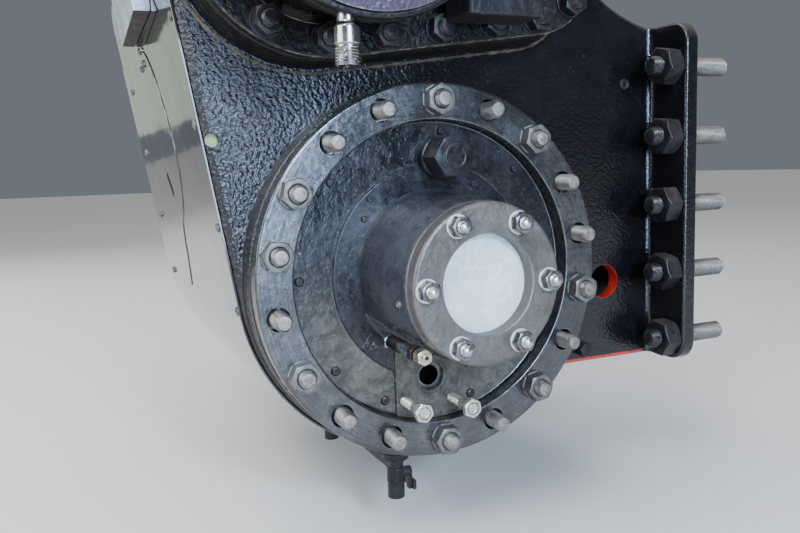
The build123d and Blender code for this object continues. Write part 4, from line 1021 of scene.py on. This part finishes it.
def boss_end():
    """The ring on the boss, the blanking disc and their fastenings."""
    place, joint = to_front(axis_x, 0, axis_z), boss_joint + 0.4
    bm = turned([(boss_bore_r, joint), (boss_bore_r, boss_face, 2.5), (127, boss_face, 7), (127, joint, 1.5)],
        place, steps=192, corner_steps=6)
    piece("boss_ring", bm, "boss_steel", ("tail_boss_ring",))
    bm = turned([(0, boss_joint - 5), (92, boss_joint - 5), (92, boss_joint - 0.2), (60, boss_joint + 0.2),
        (30, boss_joint - 0.4), (0, boss_joint + 0.2)], place, closed=False)
    piece("boss_disc", bm, "disc_cream", ("blanking_disc",))
    random = Random(5)
    studs, washers, nuts = bmesh.new(), bmesh.new(), bmesh.new()
    for i, (x, z) in enumerate(circle_places(106, 6, first=60)):
        place = to_front(x, -boss_face, z, random.uniform(0, pi))
        threaded(studs, place, 9.9, -20, 22, 2.5, random.random(), dome=0)
        solid_lathe(studs, [(0, 21), (7.4, 21), (7.4, 26.5, 3), (0, 29.4)], place, steps=28)
        lathe(washers, [(10.5, 0), (18.5, 0, 0.8), (18.5, 3, 0.8), (10.5, 3)], place, steps=48)
        hex_nut(nuts, to_front(x, -boss_face - 3, z, radians(17 * i)), *boss_nut)
    piece("boss_studs", studs, "bright_steel", ("tail_boss_studs",))
    piece("boss_washers", washers, "washer_cream", ("tail_boss_washers",))
    piece("boss_nuts", nuts, "boss_nut_steel", ("tail_boss_nuts",), bevel=0.4)


def cover_fittings():
    """The hexagon plug, the loose bolts, the relief hole lined with painted shade and the lubricator."""
    place = to_front(plug_place.x, -recess_floor, plug_place.z, radians(30))
    bm = turned([(10, 0), (37, 0), (37, 18.5, 2.5), (31, 19.5, 1), (28, 19.5), (28, 22), (10, 22)], place,
        steps=72)
    hex_nut(bm, lifted(place, 21), 65.5, 50, steps=96)
    lathe(bm, [(0, 70), (20.5, 70), (20.5, 73.6, 1.2), (17.5, 74, 0.6), (16.5, 73.2), (0, 73.2)], place,
        steps=56, closed=False)
    piece("cover_plug", bm, "dark_nut", ("front_cover_plug",), bevel=0.9)
    bolts, painted_shade = bmesh.new(), bmesh.new()
    # A black cup lining the relief hole is painted shade.
    place = to_rear(relief[0], -recess_floor + 0.5, relief[1])
    lathe(painted_shade, [(17.6, 0), (18.3, 0), (18.3, 34), (0, 34), (0, 33), (17.6, 33)], place, steps=48,
        closed=False)
    lathe(painted_shade, [(17.6, 0), (17.6, 33)], place, steps=48, closed=False)
    bmesh.ops.remove_doubles(painted_shade, verts=painted_shade.verts[:], dist=0.001)
    for dx, dz, turn in loose_bolts:
        place = to_front(axis_x + dx, -plate_face - 8, axis_z + dz, turn)
        threaded(bolts, place, 9.25, 0, 40, 2.5, tip=0.1, dome=0)
        solid_lathe(bolts, [(0, 39), (9, 39), (9, 68), (0, 68)], place, steps=32)
        lathe(bolts, [(0, 66), (13.8, 66.6), (13.8, 68.4), (0, 68.4)], place, steps=40, closed=False)
        hex_nut(bolts, lifted(place, 68), boss_nut[0], 11.4)
        solid_lathe(bolts, [(0, 79), (9.4, 79), (9.4, 80, 0.5), (6.2, 80), (5.6, 79.6), (0, 79.6)], place,
            steps=32)
        # A thin black ring round each bolt head's disc is painted shade.
        lathe(painted_shade, [(9.2, 79), (10.8, 79), (10.8, 79.6), (9.2, 79.6)],
            to_front(axis_x + dx, -plate_face - 8, axis_z + dz), steps=40)
    piece("loose_bolts", bolts, "zinc_cream", ("relief_valve_bolts",), bevel=0.3)
    piece("relief_hole_painted_shade", painted_shade, "painted_shade_black")
    place = to_front(lubricator_place.x, -recess_floor, lubricator_place.z)
    dark, bright, brass = bmesh.new(), bmesh.new(), bmesh.new()
    hex_nut(bright, place, 24, 12, steps=48)
    solid_lathe(dark, [(0, 11), (11.5, 12, 1), (11.5, 56, 2), (8, 58.5), (0, 58.5)], place, steps=40)
    solid_lathe(bright, [(0, 57), (9, 57.5, 1), (9, 67), (10.5, 68, 0.8), (10.5, 101, 0.8), (0, 102)], place,
        steps=40)
    hex_nut(dark, lifted(place, 102), 26, 16, steps=48)
    solid_lathe(dark, [(8, 117), (8, 125)], place, steps=32)
    hex_nut(brass, lifted(place, 124), 24, 20, steps=48)
    solid_lathe(brass, [(0, 143), (6, 143), (6, 149, 1), (0, 149.2)], place, steps=24)
    solid_lathe(dark, [(3.4, 148.5), (3.4, 149.8)], place, steps=20)
    piece("lubricator_body", dark, "dark_nut", ("lubricator_fitting",), bevel=0.3)
    piece("lubricator_bright", bright, "bright_steel", bevel=0.3)
    piece("lubricator_end", brass, "brass_bright", bevel=0.3)


def frame_fastenings():
    """The big nuts on the outer face of the frame flange, and the stud ends beyond it."""
    random = Random(8)
    nuts, ends, studs = bmesh.new(), bmesh.new(), bmesh.new()
    for y in (-frame_stud_y, frame_stud_y):
        for z in (-284 + 133 * row for row in range(5)):
            hex_nut(nuts, to_outside(-flange_thickness, y, z, random.uniform(-0.25, 0.25)), *frame_nut,
                steps=96)
            place = to_outside(-flange_thickness, y, z)
            threaded(ends, place, 16.9, 1, 36, 4, random.random(), steps=36, tip=0.1)
            threaded(ends, place, 18.6, 36.2, 56, 3.5, random.random(), steps=36, tip=5, dome=1.4)
            threaded(studs, to_frame(-2, y, z), 17.9, 0, 101.4, 4, random.random(), steps=30, tip=4, dome=0.5)
    piece("frame_nuts_dressed", nuts, "dark_nut", ("frame_nuts",), bevel=1)
    piece("frame_nut_ends", ends, "thread_black")
    piece("frame_studs_dressed", studs, "nut_steel", ("frame_studs",))


# Sheet cladding
def shell(inner, outer):
    """An even sheet round the end wall's outline, from one setback to the other."""
    fine, half = around(wall_circles, radians(1.5)), cladding_half
    body = swept(fine, [(outer - 0.6, -half), (outer, -half + 0.6), (outer, half - 0.6), (outer - 0.6, half)])
    return combined(body, swept(fine, [(inner, -half - 5), (inner, half + 5)]))


def slot_cutter():
    """The cutter of the slot in the outer side."""
    y, z, turn, half, r = 34, axis_z + 160, radians(51.7), 18, 12
    outline = []
    for side, back in ((1, 0), (-1, pi)):
        u, v = y + side * half * cos(turn), z + side * half * sin(turn)
        outline += arc(u, v, r, turn + back - pi / 2, pi, 12)
    return prism(outline, axis_x - 2 * wall_r, axis_x - wall_r / 2, along="X")


def cladding():
    """The polished sheet round the casting, cut back where the web, the pipes and the drain cocks pass."""
    skin = shell(seat_gap, seat_gap + sheet)
    around_web = prism(web_points(0.3, 5), -wall_half - 5, wall_half + 5)
    holes = [bar(upward(drain_x, y, drain_boss_z - 1), 26, 60) for y in drain_places]
    holes.append(bar(upward(chest_x, 0, chest_z), inlet_neck_r + 1, 400))
    holes.append(bar(to_frame(neck_root, 0, exhaust_z), exhaust_neck_r + 1, 180))
    skin = cut_from(skin, around_web, *holes, slot_cutter())
    piece("cladding_sheet", skin, "cladding_gloss", ("cylinder_cladding",), sharp=25)


# Front edge of the raised panel, from the top down: y and height over the cylinder axis
panel_edge = ((55, 434), (-60, 386), (-90, 329), (-119, 250), (-106, 172), (-62, 120), (-8, 81), (14, 50),
    (30, 12))

# Angle of the flat outer side's normal, and its parts along x and z
side_angle = tangent_angle(wall_circles[2], wall_circles[0])
side_x, side_z = cos(side_angle), sin(side_angle)


def outer_side(z, grow):
    """X of the outer side of the wall's outline at a height over the axis."""
    r = wall_r + grow
    return axis_x + (r - z * side_z) / side_x if z > r * side_z else axis_x - sqrt(r * r - z * z)


def outer_place(y, z, lift=0):
    """Place on the flat outer side of the cladding, its local Z pointing out; z is over the axis."""
    out = wall_r + seat_gap + sheet + lift
    along = (z - side_z * out) / side_x
    x = axis_x + side_x * out - side_z * along
    return Matrix.Translation((x, y, axis_z + z)) @ Matrix.Rotation(atan2(side_x, side_z), 4, "Y")


def raised_panel():
    """The second sheet on the outer side, with its curved front edge and its slot."""
    edge = []
    for i in range(0, len(panel_edge) - 1, 2):
        edge += arc_through(*panel_edge[i:i + 3], 12)[:-1]
    edge += between(panel_edge[-1], (70, -60), [k / 8 for k in range(9)])
    under, face = seat_gap + sheet + 0.05, seat_gap + sheet + 2
    shares, insets = (0, 0, 0, 0.25, 0.5, 0.75, 1, 1), (0, 0.8, 2.4, 0, 0, 0, -2, 0)
    bm = bmesh.new()
    inner, outer = [], []
    for y, z in edge:
        for rows, grows in ((inner, (under,) * 8), (outer, (face - 1, face - 0.2) + (face,) * 5
                + (face - 1,))):
            rows.append([bm.verts.new((outer_side(z, grow), y + (cladding_half - y) * share + inset,
                axis_z + z)) for share, inset, grow in zip(shares, insets, grows)])

    def faces_between(first, second):
        for k in range(len(first) - 1):
            bm.faces.new((first[k], first[k + 1], second[k + 1], second[k]))

    for rows in (inner, outer):
        for first, second in zip(rows, rows[1:]):
            faces_between(first, second)
    for k in (0, -1):
        faces_between([row[k] for row in inner], [row[k] for row in outer])
    for i in (0, -1):
        faces_between(inner[i], outer[i])
    bmesh.ops.recalc_face_normals(bm, faces=bm.faces[:])
    piece("cladding_panel_sheet", combined(bm, slot_cutter()), "cladding_gloss",
        ("cladding_panel",), sharp=25)


def cladding_screws():
    """Screws along the front and rear edges of the sheet, and three in the raised panel."""
    bm = bmesh.new()
    heads = [(-376, z, 0) for z in (426, 259, 92)] + [(-384, -48, 0)]
    heads += [(302, z, sheet) for z in (375, 233, 87, -50)]
    heads += [(14, 403, sheet), (56, 398, sheet), (28, 430, sheet)]
    for spot in heads:
        solid_lathe(bm, [(8, -1), (8, 1.4, 0.8), (5.5, 3.2, 1), (2.6, 3.6, 0.3), (2.2, 2.4), (0, 2.4)],
            outer_place(*spot), steps=24)
    piece("cladding_screws", bm, "nut_steel")


def step_bracket():
    """The pale bracket on the upper outer side, with the joint along its front and foot, both the joint and
    the underside in a dark finish, which on the underside is painted shade.
    """
    outer, low_x = seat_gap + sheet, box_mm("step_bracket")[0].x
    front, rear, foot, sag, top = -238, 22, axis_z + 459, axis_z + 437, axis_z + 618
    zone = prism([(front, foot), (rear, sag), (rear, top), (front, top)], axis_x - 3 * wall_r,
        axis_x - wall_r / 2, along="X")
    bracket = combined(shell(outer + 0.05, outer + 34), zone, "INTERSECT")
    near, far = low_x + 41, low_x + 43.5
    for groove in (rectangle(-wall_half, foot - 40, front + 9, top + 10),
            [(front - 20, foot - 40), (rear + 20, sag - 40), (rear + 20, sag + 4), (front - 20, foot + 8)]):
        bracket = combined(bracket, prism(groove, near, far, along="X"))
    bracket.normal_update()
    # Faces that look down get the dark second finish as painted shade, and the joint gets it as a dark joint.
    for face in bracket.faces:
        in_joint = all(near - 0.01 < vertex.co.x < far + 0.01 for vertex in face.verts)
        face.material_index = 1 if face.normal.z < -0.4 or in_joint else 0
    piece("step_bracket_plate", bracket, "bracket_grey", ("step_bracket",), bevel=1.2,
        sharp=25, second="bracket_joint_and_underside_shade")


# Rear of the cylinder and the chest
def rear_cover():
    """The rear cover with its boss, the slide-bar lug and its nuts."""
    bm = turned([(46, chamber_half), (cover_spigot_r, chamber_half), (cover_spigot_r, cover_joint),
        (cover_r, cover_joint, 2), (cover_r, ring_face, 5), (ring_inner_r, ring_face, 8),
        (158, ring_face + 22, 14), (118, ring_face + 40, 12), (118, rear_face, 4), (46, rear_face, 1)],
        to_rear(axis_x, 0, axis_z), steps=192)
    root, top, bottom, end = ring_face - 1, axis_z + 238, axis_z + 90, ring_face + 130
    lug = prism([(root, bottom), (end - 60, bottom), (end, bottom + 60), (end, top), (root, top)],
        axis_x - 70, axis_x + 70, along="X")
    bmesh.ops.recalc_face_normals(lug, faces=lug.faces[:])
    bmesh.ops.bevel(lug, geom=lug.edges[:], offset=4, segments=3, profile=0.5, affect="EDGES")
    holes = [bar(upward(axis_x + side * 40, end - 40, top - 70), 13, 80, steps=40) for side in (-1, 1)]
    bm = cut_from(combined(bm, lug, "UNION"), *holes)
    piece("rear_cover_dressed", bm, "chest_black", ("rear_cover",))
    random = Random(21)
    nuts, studs = bmesh.new(), bmesh.new()
    for x, z in circle_places(stud_circle, 18):
        hex_nut(nuts, to_rear(x, ring_face, z, random.uniform(0, pi)), *cover_nut)
        threaded(studs, to_rear(x, ring_face, z), 14.8, 1, 35.4, 3.5, random.random(), steps=32, tip=4,
            tip_index=1)
    piece("rear_nuts", nuts, "dark_nut", ("rear_cover_nuts",), bevel=0.8)
    piece("rear_stud_ends", studs, "stud_steel", second="tip_steel")


def rod_gland():
    """The oval gland of the piston rod and its two nuts."""
    reach, face = 98, rear_face + 24
    round_boss = (axis_x, axis_z, 82)
    circles = (round_boss, (axis_x + reach, axis_z, 32), round_boss, (axis_x - reach, axis_z, 32))
    gland = swept(around(circles), [(-1.5, rear_face), (0, rear_face + 1.5)]
        + [(g, face - d) for g, d in reversed(quarter(3, 4))])
    sleeve = solid([(0, 0), (70, 0), (66, 6, 4), (66, 47, 4), (0, 47)], to_rear(axis_x, face - 1, axis_z))
    hole = bar(to_rear(axis_x, rear_face - 20, axis_z), 45.3, 110, steps=96)
    gland = combined(combined(gland, sleeve, "UNION"), hole)
    piece("rod_gland", gland, "gland_bronze", ("piston_rod_gland",), bevel=0.6)
    nuts = bmesh.new()
    for side in (-1, 1):
        place = to_rear(axis_x + side * reach, face, axis_z, 0.3 * side)
        hex_nut(nuts, place, *gland_nut)
        threaded(nuts, place, 11.9, 1, 32.4, 2.5, tip=2.5)
    piece("rod_gland_nuts", nuts, "nut_steel", ("gland_nuts",), bevel=0.6)


def spindle_guide():
    """The long guide of the valve spindle."""
    y = chest_face
    bm = turned([(22.3, y), (110, y, 1), (110, y + 24, 4), (78, y + 33, 8), (62, y + 60, 12),
        (62, y + 184, 4), (78, y + 184, 1), (78, y + 210, 4), (22.3, y + 210, 2)],
        to_rear(chest_x, 0, chest_z), steps=120)
    piece("spindle_guide", bm, "chest_black", ("valve_spindle_guide",))


def pipe_flange(name, nodes, place, neck_r, rim_r, bore, length, circle, seed):
    """A flanged pipe end with its eight studs."""
    rim = length - 30
    bm = turned([(bore, 0), (neck_r + 5, 0, 1), (neck_r, 8, 5), (neck_r, rim, 9), (rim_r, rim, 2.5),
        (rim_r, length, 3), (bore, length, 2)], place, steps=144)
    piece(name, bm, "casting_black", nodes[:1])
    random = Random(seed)
    studs = bmesh.new()
    for a in (radians(67.5 + 45 * k) for k in range(8)):
        spot = place @ Matrix.Translation((circle * cos(a), circle * sin(a), length))
        threaded(studs, spot, 11.9, -1, 47.5, 2.5, random.random(), tip=2.5, dome=0.5)
    piece(name + "_studs", studs, "stud_steel", nodes[1:])


def drain_gear():
    """The three drain cocks and the rod that works their levers."""
    bm, top = bmesh.new(), drain_boss_z
    for y in drain_places:
        place = downward(drain_x, y, top)
        solid_lathe(bm, [(0, 0), (25, 0, 1), (25, 12, 2), (16, 14), (0, 14)], place, steps=48)
        hex_nut(bm, lifted(place, 13), 25.5, 14, steps=48)
        solid_lathe(bm, [(0, 26), (10.5, 26), (16.5, 30, 1), (17, 56, 2), (16, 60, 1), (16, 87.6, 1.5),
            (11, 87.6), (10.5, 74), (0, 74)], place, steps=40)
        solid_lathe(bm, [(0, 0), (9.6, 0, 1), (9.6, 38, 1), (5, 38), (4, 40.5, 1), (0, 40.5)],
            to_frame(drain_x - 8, y, top - 42), steps=32)
        lever = arc(y, top - 42, 9, 0, pi, 8) + [(y - 7, top - 76), (y + 7, top - 76)]
        joined(bm, prism(lever, drain_x + 24, drain_x + 30, along="X"))
    piece("drain_cocks_dressed", bm, "dark_nut", ("drain_cocks",), bevel=0.5)
    low, high = box_mm("drain_cock_rod")
    rod = prism(rectangle(low.x, low.z, high.x, high.z), low.y, high.y)
    for y in drain_places:
        solid_lathe(rod, [(0, -7), (6, -7), (6, -6, 0.5), (4, -3), (0, -3)],
            to_frame(high.x - 1, y, (low.z + high.z) / 2), steps=24)
    piece("drain_rod", rod, "dark_nut", ("drain_cock_rod",), bevel=1)


def kept_nodes():
    """Finishes for the CAD nodes that stay as they are."""
    for node, look in (("piston", "ring_steel"), ("piston_rings", "oiled_steel"),
            ("piston_rod", "oiled_steel"), ("piston_nut", "nut_steel"), ("valve_spindle", "oiled_steel"),
            ("valve_heads", "oiled_steel")):
        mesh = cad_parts[node].data
        mesh.materials.clear()
        mesh.materials.append(looks[look])


# Lamps: name, place, target, width, height, power and colour
lamps = (
    ("front", (-0.78, -5.2, 0.65), (-0.8, -0.4, 0), 2.2, 2.3, 290, (0.48, 0.68, 1)),
    ("small", (-0.7, -4.8, 1.8), (-0.7, -0.3, 0), 0.58, 0.58, 230, (0.6, 0.76, 1)),
    ("upper_left", (-3.4, -3.6, 3.6), (-0.7, -0.3, 0), 1.6, 1.6, 200, (1, 0.97, 0.92)),
    ("left", (-4.6, -0.9, 1.3), (-0.7, 0, 0.1), 3, 2.6, 200, (0.8, 0.9, 1)),
    ("top", (-0.6, -0.4, 4.8), (-0.6, 0, 0), 5.5, 5.5, 120, (1, 0.98, 0.95)),
    ("rear", (-2, 4, 2.8), (-0.5, 0.2, 0.1), 2.4, 2.4, 110, (1, 1, 1)),
    ("panel", (-3.4, 5.6, 1.5), (-0.9, -0.2, 0.4), 4.6, 2.6, 19, (0.82, 1, 0.72)),
)


def stage():
    """Floor, light and camera."""
    mesh = bpy.data.meshes.new("floor")
    mesh.from_pydata([(x, y, -0.62) for x, y in rectangle(-30, -30, 30, 30)], [], [(0, 1, 2, 3)])
    floor = linked("floor", mesh)
    pale = bpy.data.materials.new("pale_floor")
    pale.use_nodes = True
    shader = pale.node_tree.nodes["Principled BSDF"]
    shader.inputs["Base Color"].default_value = (0.62, 0.61, 0.59, 1)
    shader.inputs["Roughness"].default_value = 0.9
    mesh.materials.append(pale)
    world = bpy.data.worlds.new("pale_world")
    world.use_nodes = True
    background = world.node_tree.nodes["Background"]
    background.inputs["Color"].default_value = (0.78, 0.85, 1, 1)
    background.inputs["Strength"].default_value = 0.2
    bpy.context.scene.world = world
    for name, place, target, width, height, power, colour in lamps:
        light = bpy.data.lights.new(name, "AREA")
        light.shape = "RECTANGLE"
        light.size, light.size_y, light.energy, light.color = width, height, power, colour
        lamp = linked(name, light)
        lamp.location = place
        lamp.rotation_euler = (Vector(target) - Vector(place)).to_track_quat("-Z", "Y").to_euler()
    sky = bpy.data.lights.new("even", "SUN")
    sky.energy, sky.angle, sky.color = 1.3, radians(100), (1, 0.99, 0.97)
    linked("even", sky).rotation_euler = (0, radians(-12), 0)
    yaw, pitch, roll = 0.416, -0.125, -0.032
    ahead = Vector((sin(yaw) * cos(pitch), cos(yaw) * cos(pitch), sin(pitch)))
    level = Vector((cos(yaw), -sin(yaw), 0))
    above = level.cross(ahead)
    right = level * cos(roll) + above * sin(roll)
    up = above * cos(roll) - level * sin(roll)
    camera = linked("camera", bpy.data.cameras.new("camera"))
    camera.data.lens = 35.71
    camera.data.sensor_width = 36
    turn = Matrix((right, up, -ahead)).transposed().to_4x4()
    camera.matrix_world = Matrix.Translation((-1.15536, -1.68428, 0.07183)) @ turn
    bpy.context.scene.camera = camera


for build in (castings, wall_details, chest_ends, chest_nuts, chest_dust, front_cap, pipe_stub, bypass_box,
        front_cover, cover_plate, cover_fastenings, boss_end, cover_fittings, frame_fastenings, cladding,
        raised_panel, cladding_screws, step_bracket, rear_cover, rod_gland, spindle_guide):
    build()
pipe_flange("inlet_flange", ("steam_inlet_flange", "steam_inlet_studs"), upward(chest_x, 0, inlet_seat),
    inlet_neck_r, 150, 75, 85, 125, 31)
pipe_flange("outlet_flange", ("exhaust_flange", "exhaust_studs"), to_frame(exhaust_seat, 0, exhaust_z),
    exhaust_neck_r, 130, 68, 80, 108, 32)
drain_gear()
kept_nodes()
stage()
